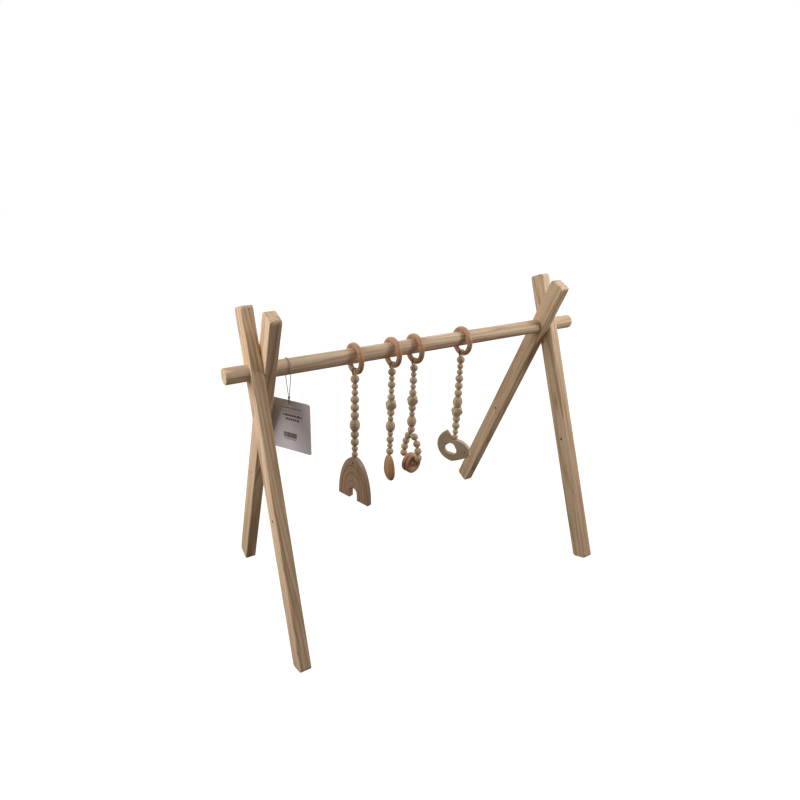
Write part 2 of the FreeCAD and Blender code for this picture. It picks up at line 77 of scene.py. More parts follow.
def add(tree: bpy.types.NodeTree, kind: str, sockets: dict | None = None,
        **settings: object) -> bpy.types.Node:
    """Add a node with its settings, socket values and links.

    Args:
        tree: The material's or world's node tree.
        kind: The node's type name.
        sockets: Input name or number to a value, or to the output socket that feeds it.
        settings: Node attributes.

    Returns:
        The new node.
    """
    made = tree.nodes.new(kind)
    for name, value in settings.items():
        setattr(made, name, value)
    for name, value in (sockets or {}).items():
        if isinstance(value, bpy.types.NodeSocket):
            tree.links.new(value, made.inputs[name])
        else:
            made.inputs[name].default_value = value
    return made


def new_material(name: str) -> tuple[bpy.types.Material, bpy.types.NodeTree]:
    """Start an empty node material.

    Args:
        name: Its name.

    Returns:
        The material and its cleared node tree.
    """
    material = bpy.data.materials.new(name)
    material.use_nodes = True
    material.node_tree.nodes.clear()
    return material, material.node_tree


def surface(tree: bpy.types.NodeTree, shader: dict) -> None:
    """Close a material with one principled shader.

    Args:
        tree: The material's node tree.
        shader: Socket values and links of the principled shader.
    """
    principled = add(tree, "ShaderNodeBsdfPrincipled", shader)
    add(tree, "ShaderNodeOutputMaterial", {"Surface": principled.outputs["BSDF"]})


def in_frame(tree: bpy.types.NodeTree, place: Matrix) -> bpy.types.NodeSocket:
    """Read a point's place in a piece's own frame, in millimetres.

    Args:
        tree: The material's node tree.
        place: The piece's frame in the object's metres.

    Returns:
        The socket with the place.
    """
    return add(tree, "ShaderNodeMapping",
               {"Vector": add(tree, "ShaderNodeTexCoord").outputs["Object"],
                "Location": place.translation, "Rotation": place.to_euler(),
                "Scale": (MM, MM, MM)}, vector_type="TEXTURE").outputs["Vector"]


def drawn_out(tree: bpy.types.NodeTree, cut: bpy.types.NodeSocket, wide: float, long: float,
              detail: float, rough: float) -> bpy.types.Node:
    """Draw a cloud whose spots are stretched along the grain.

    Args:
        tree: The material's node tree.
        cut: A point's place in the timber or yarn, with the grain along Z.
        wide: Size of the spots across the grain.
        long: Their length along the grain.
        detail: How many finer clouds lie on it.
        rough: Strength of the finer clouds.

    Returns:
        The cloud's node.
    """
    place = add(tree, "ShaderNodeMapping", {"Vector": cut, "Scale": (1 / wide, 1 / wide, 1 / long)})
    return add(tree, "ShaderNodeTexNoise", {"Vector": place.outputs["Vector"], "Scale": 1.0,
                                            "Detail": detail, "Roughness": rough})


# ---------------------------------------------------------------- finishes
@dataclass(frozen=True)
class Timber:
    """Solid wood, cut from a tree: growth rings, fibre streaks and pores run through it.

    Attributes:
        name: Maker's name of the finish.
        slot: Material slot of the record.
        early: Colour of the wood grown in spring.
        late: Colour of the denser summer wood.
        streak: Colour of the darker fibre streaks.
        ring_width: Distance from one growth ring to the next.
        ring_strength: How far the summer wood darkens a ring.
        streak_strength: How far the streaks darken the wood.
        pith: Where the tree's heart lies, across the grain.
        drift: How fast the heart wanders off along the grain, which draws the arches.
        roughness: Roughness of the worked surface.
        relief: Depth of the fibres.
        pore_strength: How dark the open pores are.
    """

    name: str
    slot: str
    early: str
    late: str
    streak: str
    ring_width: float
    ring_strength: float
    streak_strength: float
    pith: tuple[float, float]
    drift: float
    roughness: float
    relief: float
    pore_strength: float

    def dress(self, tag: str, place: Matrix | None = None, burnt: str = "") -> bpy.types.Material:
        """Make the material.

        Args:
            tag: What it goes on, for its name.
            place: The timber's own frame in the object's metres, with the grain along Z.
                Without it the points' own "grain" attribute is read.
            burnt: Colour of charred lines, which the "burn" attribute draws.

        Returns:
            The material.
        """
        material, tree = new_material(f"{self.name}_{tag}")
        if place is None:
            cut = add(tree, "ShaderNodeAttribute", attribute_name="grain").outputs["Vector"]
        else:
            cut = in_frame(tree, place)
        # Slow wander of the rings: a tree isn't round, over some 60 mm across and 420 mm along.
        bend = drawn_out(tree, cut, 60, 420, 2.0, 0.5)
        bend = add(tree, "ShaderNodeVectorMath", {0: bend.outputs["Color"], 1: (0.5, 0.5, 0.5)},
                   operation="SUBTRACT")
        bend = add(tree, "ShaderNodeVectorMath", {0: bend.outputs["Vector"], "Scale": self.ring_width * 5},
                   operation="SCALE")
        bent = add(tree, "ShaderNodeVectorMath", {0: cut, 1: bend.outputs["Vector"]}, operation="ADD")
        split = add(tree, "ShaderNodeSeparateXYZ", {"Vector": bent.outputs["Vector"]})
        heart = add(tree, "ShaderNodeMath", {0: split.outputs["Z"], 1: self.drift, 2: -self.pith[0]},
                    operation="MULTIPLY_ADD")
        across = add(tree, "ShaderNodeMath", {0: split.outputs["X"], 1: heart.outputs[0]}, operation="ADD")
        deep = add(tree, "ShaderNodeMath", {0: split.outputs["Y"], 1: -self.pith[1]}, operation="ADD")
        flat = add(tree, "ShaderNodeCombineXYZ", {"X": across.outputs[0], "Y": deep.outputs[0]})
        radius = add(tree, "ShaderNodeVectorMath", {0: flat.outputs["Vector"]}, operation="LENGTH")
        rings = add(tree, "ShaderNodeMath", {0: radius.outputs["Value"], 1: self.ring_width},
                    operation="DIVIDE")
        year = add(tree, "ShaderNodeMath", {0: rings.outputs[0]}, operation="FRACT")
        late = add(tree, "ShaderNodeValToRGB", {"Fac": year.outputs[0]})
        ramp = late.color_ramp
        ramp.elements[0].position = 0.0
        ramp.elements[0].color = (0.25, 0.25, 0.25, 1)
        ramp.elements[1].position = 1.0
        ramp.elements[1].color = (0.25, 0.25, 0.25, 1)
        for position, level in ((0.10, 0.0), (0.45, 0.08), (0.80, 0.55), (0.93, 1.0)):
            ramp.elements.new(position).color = (level, level, level, 1)
        # Each year differs, so the rings don't repeat.
        years = add(tree, "ShaderNodeMath", {0: rings.outputs[0]}, operation="FLOOR")
        weight = add(tree, "ShaderNodeTexWhiteNoise", {"W": years.outputs[0]}, noise_dimensions="1D")
        weight = add(tree, "ShaderNodeMapRange",
                     {"Value": weight.outputs["Value"], "To Min": 0.35, "To Max": 1.0})
        summer = add(tree, "ShaderNodeMath", {0: late.outputs["Color"], 1: weight.outputs[0]},
                     operation="MULTIPLY")
        summer = add(tree, "ShaderNodeMath", {0: summer.outputs[0], 1: self.ring_strength},
                     operation="MULTIPLY")
        # Fibre bundles some 0.9 mm wide and 70 mm long, drawn about twice as coarse as real ones.
        fibre = drawn_out(tree, cut, 0.9, 70, 3.0, 0.6)
        band = drawn_out(tree, cut, 7, 260, 2.0, 0.5)
        streak = add(tree, "ShaderNodeMath", {0: fibre.outputs["Fac"], 1: band.outputs["Fac"]},
                     operation="ADD")
        streak = add(tree, "ShaderNodeMapRange",
                     {"Value": streak.outputs[0], "From Min": 0.85, "From Max": 1.3,
                      "To Min": 0.0, "To Max": self.streak_strength}, interpolation_type="SMOOTHSTEP")
        # Open pores: dashes 0.3 mm wide and 6 mm long.
        pore = drawn_out(tree, cut, 0.3, 6, 1.0, 0.4)
        pore = add(tree, "ShaderNodeMapRange",
                   {"Value": pore.outputs["Fac"], "From Min": 0.62, "From Max": 0.72,
                    "To Min": 0.0, "To Max": self.pore_strength})
        wood = add(tree, "ShaderNodeMix", {"Factor": summer.outputs[0], 6: linear(self.early),
                                           7: linear(self.late)}, data_type="RGBA")
        wood = add(tree, "ShaderNodeMix", {"Factor": streak.outputs[0], 6: wood.outputs[2],
                                           7: linear(self.streak)}, data_type="RGBA")
        wood = add(tree, "ShaderNodeMix", {"Factor": pore.outputs[0], 6: wood.outputs[2],
                                           7: linear(self.late)}, data_type="RGBA", blend_type="MULTIPLY")
        if burnt:
            char = add(tree, "ShaderNodeAttribute", attribute_name="burn")
            char = add(tree, "ShaderNodeMapRange", {"Value": char.outputs["Fac"], "From Min": 0.15,
                                                    "From Max": 0.75, "To Max": 0.9})
            wood = add(tree, "ShaderNodeMix", {"Factor": char.outputs[0], 6: wood.outputs[2],
                                               7: linear(burnt)}, data_type="RGBA")
        rough = add(tree, "ShaderNodeMapRange",
                    {"Value": fibre.outputs["Fac"], "From Min": 0.3, "From Max": 0.7,
                     "To Min": self.roughness - 0.06, "To Max": self.roughness + 0.08})
        height = add(tree, "ShaderNodeMath", {0: fibre.outputs["Fac"], 1: pore.outputs[0]},
                     operation="SUBTRACT")
        bump = add(tree, "ShaderNodeBump", {"Strength": 0.35, "Distance": self.relief * MM,
                                            "Height": height.outputs[0]})
        surface(tree, {"Base Color": wood.outputs[2], "Roughness": rough.outputs[0], "IOR": 1.45,
                       "Normal": bump.outputs["Normal"]})
        return material


@dataclass(frozen=True)
class Cotton:
    """Cabled cotton: dull plies with fine fibres that run along each ply.

    Attributes:
        name: Maker's name of the finish.
        slot: Material slot of the record.
        light: Colour of the fibres in the light.
        dark: Colour deep between the fibres.
    """

    name: str
    slot: str
    light: str
    dark: str

    def dress(self, tag: str) -> bpy.types.Material:
        """Make the material, which follows the plies by the "grain" attribute.

        Args:
            tag: What it goes on, for its name.

        Returns:
            The material.
        """
        material, tree = new_material(f"{self.name}_{tag}")
        laid = add(tree, "ShaderNodeAttribute", attribute_name="grain").outputs["Vector"]
        # Yarn fibres: 0.12 mm wide and 3 mm long.
        fibre = drawn_out(tree, laid, 0.12, 3, 2.0, 0.6)
        shade = add(tree, "ShaderNodeMapRange",
                    {"Value": fibre.outputs["Fac"], "From Min": 0.35, "From Max": 0.65})
        tone = add(tree, "ShaderNodeMix", {"Factor": shade.outputs[0], 6: linear(self.dark),
                                           7: linear(self.light)}, data_type="RGBA")
        bump = add(tree, "ShaderNodeBump", {"Strength": 0.6, "Distance": 0.06 * MM,
                                            "Height": fibre.outputs["Fac"]})
        surface(tree, {"Base Color": tone.outputs[2], "Roughness": 0.85, "Sheen Weight": 0.25,
                       "Sheen Roughness": 0.5, "Normal": bump.outputs["Normal"]})
        return material


# Planed, unfinished ash: pale, with broad rings and a satin surface that shows no lacquer.
ASH = Timber("planed_ash", "ash_timber", "e8d2b6", "a4845f", "ae8a66", 4.6, 1.0, 0.75,
             (30.0, 16.0), 0.035, 0.52, 0.09, 0.30)
# Turned beech dowel: closer and warmer than the legs, sanded along its length.
DOWEL = Timber("sanded_beech_dowel", "ash_timber", "ead6bc", "a9886a", "b08c6c", 3.8, 0.75, 0.80,
               (26.0, 12.0), 0.012, 0.50, 0.07, 0.25)
# Turned and oiled beech rings: red-brown, with the low gloss of an oil finish.
RING_BEECH = Timber("oiled_beech_ring", "ring_beech", "cba082", "946c50", "9c7254", 2.8, 0.50, 0.55,
                    (16.0, 20.0), 0.02, 0.40, 0.05, 0.25)
# Raw turned beech beads: pale and dull.
BEAD_BEECH = Timber("turned_beech_bead", "bead_beech", "d8c4aa", "ab9070", "b39a7b", 2.2, 0.40, 0.45,
                    (9.0, 7.0), 0.05, 0.50, 0.05, 0.25)
# Sawn and sanded beech plate, dulled by wax: grey-brown, with red streaks.
PLATE_BEECH = Timber("waxed_beech_plate", "plate_beech", "b49b82", "8f6d54", "9a765c", 5.0, 0.45, 0.60,
                     (14.0, 30.0), 0.03, 0.50, 0.06, 0.25)
# Waxed beech of the bird: a paler, greyer board than the rainbow's, with a faint figure.
PALE_BEECH = Timber("pale_beech_plate", "plate_beech", "cdbda6", "a08c74", "a5917a", 5.0, 0.40, 0.50,
                    (14.0, 30.0), 0.03, 0.50, 0.06, 0.25)
# Oiled beech pebble: honey-brown, with a broad dark band and a soft gloss.
PEBBLE_WOOD = Timber("oiled_beech_pebble", "plate_beech", "dcb588", "916542", "9c7048", 7.5, 0.75, 0.55,
                     (12.0, 5.0), 0.10, 0.36, 0.04, 0.20)
# Waxed three-ply cotton cord of the toys, tea-brown.
TOY_CORD = Cotton("waxed_cotton_cord", "cotton_cord", "c39a7c", "6e4a36")
# Undyed cotton string of the swing tag.
TAG_COTTON = Cotton("undyed_cotton_string", "tag_string", "d6d2c8", "8d887c")


# ---------------------------------------------------------------- making pieces
class Lathe:
    """A cutter path in the XZ plane that is turned about Z to a closed piece."""

    def __init__(self, x: float, z: float) -> None:
        """Set the cutter at its first point."""
        self.bm = bmesh.new()
        self.tip = self.bm.verts.new((x, 0, z))
        self.first = self.tip

    def to(self, x: float, z: float) -> "Lathe":
        """Move the cutter straight to a point."""
        end = self.bm.verts.new((x, 0, z))
        self.bm.edges.new((self.tip, end))
        self.tip = end
        return self

    def arc(self, x: float, z: float, degrees: float, steps: int) -> "Lathe":
        """Swing the cutter clockwise round a centre, with X to the right and Z up."""
        made = bmesh.ops.spin(self.bm, geom=[self.tip], cent=(x, 0, z), axis=(0, 1, 0),
                              angle=math.radians(degrees), steps=steps)
        self.tip = next(part for part in made["geom_last"] if isinstance(part, bmesh.types.BMVert))
        return self

    def turn(self, steps: int) -> bmesh.types.BMesh:
        """Close the path and turn it about Z.

        Args:
            steps: Faces round the piece.

        Returns:
            The closed piece.
        """
        self.bm.edges.new((self.tip, self.first))
        bmesh.ops.spin(self.bm, geom=self.bm.verts[:] + self.bm.edges[:], cent=(0, 0, 0),
                       axis=(0, 0, 1), angle=math.tau, steps=steps, use_merge=True)
        bmesh.ops.remove_doubles(self.bm, verts=self.bm.verts, dist=1e-4)
        bmesh.ops.recalc_face_normals(self.bm, faces=self.bm.faces)
        return self.bm


class Work:
    """A piece in the making: parts in millimetres that keep their place in the timber."""

    def __init__(self) -> None:
        """Start with nothing."""
        self.bm = bmesh.new()
        self.grain = self.bm.verts.layers.float_vector.new("grain")

    def put(self, part: bmesh.types.BMesh, place: Matrix, timber: Matrix | None = None) -> None:
        """Add a part, and free it.

        Args:
            part: The part, in millimetres in its own frame.
            place: Where it goes, in the row frame in metres.
            timber: From the part's own frame to the timber it was cut from, or None where
                the part has its "grain" already.
        """
        if timber is not None:
            layer = part.verts.layers.float_vector.new("grain")
            for vertex in part.verts:
                vertex[layer] = timber @ vertex.co
        part.transform(place @ Matrix.Scale(MM, 4))
        passed = bpy.data.meshes.new("passed")
        part.to_mesh(passed)
        part.free()
        self.bm.from_mesh(passed)
        bpy.data.meshes.remove(passed)

    def finish(self, name: str, body: str, material: bpy.types.Material, slot: str,
               nodes: Sequence[str], crease: float = 38.0) -> bpy.types.Object:
        """Make the piece's object and hand it to the frame.

        Args:
            name: The object's name.
            body: The CAD body that it rides on.
            material: Its material.
            slot: Its material slot of the record. Not used.
            nodes: The CAD nodes that it stands for.
            crease: Edges sharper than this many degrees stay crisp.

        Returns:
            The object.
        """
        mesh = bpy.data.meshes.new(name)
        for face in self.bm.faces:
            face.smooth = True
        self.bm.to_mesh(mesh)
        self.bm.free()
        mesh.set_sharp_from_angle(angle=math.radians(crease))
        mesh.materials.append(material)
        made = bpy.data.objects.new(name, mesh)
        bpy.context.collection.objects.link(made)
        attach(made, body)
        if nodes:
            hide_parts(*nodes)
        LOG.info("%s: %d faces on %s", name, len(mesh.polygons), body)
        return made


def evaluated(data: bpy.types.Curve | bpy.types.Mesh,
              modify: Callable[[bpy.types.Object], None] | None = None) -> bpy.types.Mesh:
    """Get the mesh of a curve or of a mesh with modifiers.

    Args:
        data: The curve or mesh, which is removed.
        modify: Adds modifiers to the object that holds it.

    Returns:
        A new mesh.
    """
    holder = bpy.data.objects.new("holder", data)
    bpy.context.collection.objects.link(holder)
    if modify is not None:
        modify(holder)
    graph = bpy.context.evaluated_depsgraph_get()
    made = bpy.data.meshes.new_from_object(holder.evaluated_get(graph), depsgraph=graph)
    bpy.data.objects.remove(holder)
    if isinstance(data, bpy.types.Curve):
        bpy.data.curves.remove(data)
    else:
        bpy.data.meshes.remove(data)
    return made


def smooth_line(points: Sequence[Point], closed: bool = False) -> list[Vector]:
    """Read the smooth line that has these points as its control points.

    Args:
        points: Control points.
        closed: Whether the line closes on itself.

    Returns:
        Points along the NURBS line.
    """
    curve = bpy.data.curves.new("line", "CURVE")
    curve.dimensions = "3D"
    spline = curve.splines.new("NURBS")
    spline.points.add(len(points) - 1)
    for knot, point in zip(spline.points, points):
        knot.co = (*point, 1)
    spline.order_u = 3
    spline.use_cyclic_u = closed
    spline.use_endpoint_u = not closed
    spline.resolution_u = 16
    mesh = evaluated(curve)
    line = [vertex.co.copy() for vertex in mesh.vertices]
    bpy.data.meshes.remove(mesh)
    if closed:
        line.append(line[0].copy())
    return line


def distances(line: Sequence[Vector]) -> list[float]:
    """Distance of each point of a line from its start, along the line."""
    return [0.0, *itertools.accumulate((there - here).length for here, there in zip(line, line[1:]))]


def rope(line: Sequence[Vector], diameter: float, lay: float, plies: int = 3, step: float = 0.35,
         sides: int = 24) -> bmesh.types.BMesh:
    """Lay a twisted cord along a line.

    A star-shaped section is spun and lifted to a straight twisted cord, which is then bent
    along the line.

    Args:
        line: Points of the line, the last one equal to the first where it is closed.
        diameter: Over the plies.
        lay: Length of one full twist.
        plies: How many yarns are twisted together.
        step: Length of one step along the cord.
        sides: Points round the cord.

    Returns:
        The cord, with its "grain" along the plies.
    """
    closed = (line[0] - line[-1]).length < 1e-6
    lengths = distances(line)
    total = lengths[-1]
    steps = max(8, round(total / step))
    twists = round(total / lay) if closed else total / lay
    bm = bmesh.new()
    layer = bm.verts.layers.float_vector.new("grain")
    bmesh.ops.create_circle(bm, cap_ends=False, radius=diameter / 2, segments=sides)
    for vertex in bm.verts:
        bearing = math.atan2(vertex.co.y, vertex.co.x)
        vertex.co *= 0.80 + 0.20 * abs(math.cos(bearing * plies / 2))
    bmesh.ops.spin(bm, geom=bm.verts[:] + bm.edges[:], cent=(0, 0, 0), axis=(0, 0, 1),
                   dvec=(0, 0, total / steps), angle=math.tau * twists, steps=steps)
    if not closed:
        bmesh.ops.holes_fill(bm, edges=[e for e in bm.edges if e.is_boundary], sides=0)
    tangents = [(b - a).normalized() for a, b in zip(line, line[1:])]
    normal = tangents[0].orthogonal().normalized()
    normals = []
    for tangent in tangents:
        normal = (normal - tangent * normal.dot(tangent)).normalized()
        normals.append(normal)
    slip = 0.0
    if closed:
        last = (normals[-1] - tangents[0] * normals[-1].dot(tangents[0])).normalized()
        slip = math.atan2(normals[0].cross(last).dot(tangents[0]), normals[0].dot(last))
    for vertex in bm.verts:
        x, y, z = vertex.co
        share = min(max(z, 0.0), total)
        turn = math.tau * twists * share / total
        vertex[layer] = (x * math.cos(turn) + y * math.sin(turn),
                         y * math.cos(turn) - x * math.sin(turn), z)
        place = min(bisect.bisect_right(lengths, share), len(tangents)) - 1
        along = (share - lengths[place]) / max(lengths[place + 1] - lengths[place], 1e-9)
        ahead = min(place + 1, len(tangents) - 1)
        blend = along - 0.5
        other = ahead if blend > 0 else max(place - 1, 0)
        tangent = tangents[place].lerp(tangents[other], abs(blend)).normalized()
        side = normals[place].lerp(normals[other], abs(blend))
        side = (side - tangent * side.dot(tangent)).normalized()
        side.rotate(Matrix.Rotation(-slip * share / total, 3, tangent))
        up = tangent.cross(side)
        centre = line[place].lerp(line[place + 1], along) + tangent * (z - share)
        vertex.co = centre + side * x + up * y
    bmesh.ops.remove_doubles(bm, verts=bm.verts, dist=1e-3 if not closed else 0.02)
    bmesh.ops.recalc_face_normals(bm, faces=bm.faces)
    return bm


def through(start: Flat, middle: Flat, end: Flat, steps: int) -> list[Flat]:
    """Arc through three points of a plate's outline.

    Args:
        start: First point, as x and z.
        middle: A point that the arc passes.
        end: Last point.
        steps: Number of parts.

    Returns:
        The points from the first up to, and without, the last.
    """
    a, b, c = Vector(start), Vector(middle), Vector(end)
    double = 2 * (a.x * (b.y - c.y) + b.x * (c.y - a.y) + c.x * (a.y - b.y))
    squares = (a.length_squared, b.length_squared, c.length_squared)
    across = squares[0] * (b.y - c.y) + squares[1] * (c.y - a.y) + squares[2] * (a.y - b.y)
    up = squares[0] * (c.x - b.x) + squares[1] * (a.x - c.x) + squares[2] * (b.x - a.x)
    centre = Vector((across / double, up / double))
    arms = [point - centre for point in (a, b, c)]
    bearing, passing, last = [math.atan2(arm.y, arm.x) for arm in arms]
    sweep = (last - bearing) % math.tau
    if (passing - bearing) % math.tau > sweep:
        sweep -= math.tau
    return [tuple(centre + Matrix.Rotation(sweep * i / steps, 2) @ arms[0]) for i in range(steps)]


def flat_plate(outlines: Sequence[Sequence[Flat]], thick: float, edge: float) -> bpy.types.Mesh:
    """Cut a plate with rounded rims from flat outlines.

    Args:
        outlines: The outer outline and its holes, as x and z.
        thick: The plate's thickness.
        edge: Rounding of both rims.

    Returns:
        The plate, upright in the XZ plane, in millimetres.
    """
    curve = bpy.data.curves.new("plate", "CURVE")
    curve.dimensions = "2D"
    curve.fill_mode = "BOTH"
    curve.extrude = thick / 2 - edge
    curve.bevel_depth = edge
    curve.bevel_resolution = 3
    curve.offset = -edge
    for number, outline in enumerate(outlines):
        turned = sum(a[0] * b[1] - b[0] * a[1] for a, b in zip(outline, [*outline[1:], outline[0]]))
        forward = (turned > 0) == (number == 0)
        spline = curve.splines.new("POLY")
        spline.points.add(len(outline) - 1)
        for knot, (x, z) in zip(spline.points, outline if forward else reversed(outline)):
            knot.co = (x, z, 0, 1)
        spline.use_cyclic_u = True
    mesh = evaluated(curve)
    mesh.transform(Matrix.Rotation(math.pi / 2, 4, "X"))
    return mesh


def circle(x: float, z: float, radius: float, steps: int = 28) -> list[Flat]:
    """Round hole of a plate's outline."""
    return [(x + radius * math.cos(math.tau * i / steps), z + radius * math.sin(math.tau * i / steps))
            for i in range(steps)]


def flat_ring(outer: float, inner: float, thick: float, edge: float, steps: int = 96) -> bmesh.types.BMesh:
    """Turn a ring with rounded edges.

    Args:
        outer: Outer diameter.
        inner: Inner diameter.
        thick: Thickness along its axis, which is Z.
        edge: Rounding of its edges.
        steps: Faces round the ring.

    Returns:
        The ring.
    """
    half, far, near = thick / 2, outer / 2, inner / 2
    lathe = Lathe(far - edge, half).arc(far - edge, half - edge, 90, 6).to(far, -half + edge)
    lathe.arc(far - edge, -half + edge, 90, 6).to(near + edge, -half)
    lathe.arc(near + edge, -half + edge, 90, 6).to(near, half - edge)
    lathe.arc(near + edge, half - edge, 90, 6)
    return lathe.turn(steps)


# ---------------------------------------------------------------- stand
@dataclass
class Stand:
    """The bar and the four legs, which keep their CAD shapes and get their timber.

    Attributes:
        legs: The legs' CAD nodes.
        leg_width: Width of a leg across its long side.
        bar: Diameter of the bar.
        board: Length of the board, in metres, from one leg's wood to the next one's.
    """

    legs: tuple[str, ...] = ("left_outer_leg", "left_inner_leg", "right_outer_leg", "right_inner_leg")
    leg_width: float = 34.0
    bar: float = 28.0
    board: float = 0.9

    def timber_of_leg(self, name: str, number: int) -> Matrix:
        """Frame of the beam that a leg was sawn from.

        Args:
            name: The leg's CAD node.
            number: Which of the four it is, so that no two show the same wood.

        Returns:
            The frame in metres, with Z along the leg.
        """
        low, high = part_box(name)
        depth = high.y - low.y
        rise = high.z - low.z
        lean = math.atan2(depth - self.leg_width * MM, rise)
        side = 1 if "inner" in name else -1
        middle = (low + high) / 2
        turn = Matrix.Rotation(side * lean, 4, "X")
        shift = Matrix.Translation((0, 0, number * self.board))
        return Matrix.Translation(middle) @ turn @ Matrix.Rotation(number * math.pi / 2, 4, "Z") @ shift

    def build(self) -> None:
        """Dress the CAD nodes."""
        for number, name in enumerate(self.legs):
            material = ASH.dress(name, self.timber_of_leg(name, number))
            self.paint(name, material)
        low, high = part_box("bar")
        tilt = math.atan2(high.z - low.z - self.bar * MM, high.x - low.x)
        place = Matrix.Translation((low + high) / 2) @ Matrix.Rotation(math.pi / 2 + tilt, 4, "Y")
        self.paint("bar", DOWEL.dress("bar", place))

    @staticmethod
    def paint(name: str, material: bpy.types.Material) -> None:
        """Give a CAD node its material."""
        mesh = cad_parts[name].data
        mesh.materials.clear()
        mesh.materials.append(material)
        LOG.info("%s dressed in %s", name, material.name)


# ---------------------------------------------------------------- toys
class Bead(Enum):
    """The four bead patterns, by their letter in a string's order."""

    LARGE = "L"
    SMALL = "S"
    RIBBED = "R"
    FACETED = "F"


NODE_OF_BEAD = {Bead.LARGE: "large_beads", Bead.SMALL: "small_beads",
                Bead.RIBBED: "ribbed_bead", Bead.FACETED: "faceted_bead"}


@dataclass(frozen=True)
class BeadSet:
    """Sizes of one set of beads.

    Attributes:
        large: Diameter of a large bead.
        small: Diameter of a small bead.
        ribbed: Diameter of the ribbed barrel.
        ribbed_height: Height of the ribbed barrel.
        faceted: Width of the faceted cube.
        flat: What is taken off both ends of a round bead.
        bore: Diameter of the bore.
        rib_levels: Heights of the barrel's grooves, as shares of its height.
        rib_width: Width of a groove.
        rib_depth: Depth of a groove.
        end_share: Radius of the barrel's ends, as a share of its diameter.
        facet_turn: Turn of the faceted cube about the cord, in degrees.
        facet_cut: How far its corners are cut off, as a share of its width.
        edge_break: Rounding of its edges.
    """

    large: float
    small: float
    ribbed: float
    ribbed_height: float
    faceted: float
    flat: float = 0.25
    bore: float = 3.0
    rib_levels: tuple[float, ...] = (-0.14, 0.03, 0.20, 0.37)
    rib_width: float = 1.9
    rib_depth: float = 0.9
    end_share: float = 0.27
    facet_turn: float = -17.0
    facet_cut: float = 0.44
    edge_break: float = 0.45

    def height(self, bead: Bead) -> float:
        """Height of a bead along the cord."""
        return {Bead.LARGE: self.large - 2 * self.flat, Bead.SMALL: self.small - 2 * self.flat,
                Bead.RIBBED: self.ribbed_height, Bead.FACETED: self.faceted}[bead]

    def cut(self, bead: Bead) -> bmesh.types.BMesh:
        """Make one bead."""
        if bead is Bead.RIBBED:
            return self.ribbed_barrel()
        if bead is Bead.FACETED:
            return self.faceted_cube()
        return self.ball(self.large if bead is Bead.LARGE else self.small)

    def ball(self, diameter: float) -> bmesh.types.BMesh:
        """Turn a round bead with its bore along Z."""
        radius = diameter / 2
        top = radius - self.flat
        end = math.sqrt(radius ** 2 - top ** 2)
        opening = math.degrees(math.atan2(end, top))
        lathe = Lathe(end, top).arc(0, 0, 180 - 2 * opening, 22)
        lathe.to(self.bore / 2, -top + 0.35).to(self.bore / 2, top - 0.35)
        return lathe.turn(40)

    def ribbed_barrel(self) -> bmesh.types.BMesh:
        """Turn a barrel with its grooves."""
        top = self.ribbed_height / 2
        end = self.ribbed * self.end_share
        bulge = self.ribbed / 2 - end
        radius = (top ** 2 + bulge ** 2) / (2 * bulge)
        centre = self.ribbed / 2 - radius
        lathe = Lathe(end, top)
        lathe.arc(centre, 0, 2 * math.degrees(math.asin(top / radius)), 120)
        for vertex in lathe.bm.verts:
            near = min(abs(vertex.co.z - level * self.ribbed_height) for level in self.rib_levels)
            if near < self.rib_width / 2:
                vertex.co.x -= self.rib_depth * math.cos(near / self.rib_width * math.pi)
        lathe.to(self.bore / 2, -top + 0.4).to(self.bore / 2, top - 0.4)
        return lathe.turn(44)

    def faceted_cube(self) -> bmesh.types.BMesh:
        """Cut the eight corners off a cube and break its edges."""
        bm = bmesh.new()
        bmesh.ops.create_cube(bm, size=self.faceted)
        bmesh.ops.bevel(bm, geom=bm.verts[:], offset=self.faceted * self.facet_cut, offset_type="OFFSET",
                        affect="VERTICES", segments=1, profile=0.5, material=-1)
        bmesh.ops.bevel(bm, geom=bm.edges[:], offset=self.edge_break, offset_type="OFFSET", affect="EDGES",
                        segments=3, profile=0.5, material=-1)
        turn = Matrix.Rotation(math.radians(self.facet_turn), 3, "Z")
        bmesh.ops.rotate(bm, verts=bm.verts, cent=(0, 0, 0), matrix=turn)
        return bm


BIG_SET = BeadSet(16.2, 12.4, 19.8, 23.4, 18.4)
FINE_SET = BeadSet(14.8, 11.3, 19.0, 21.4, 17.4)


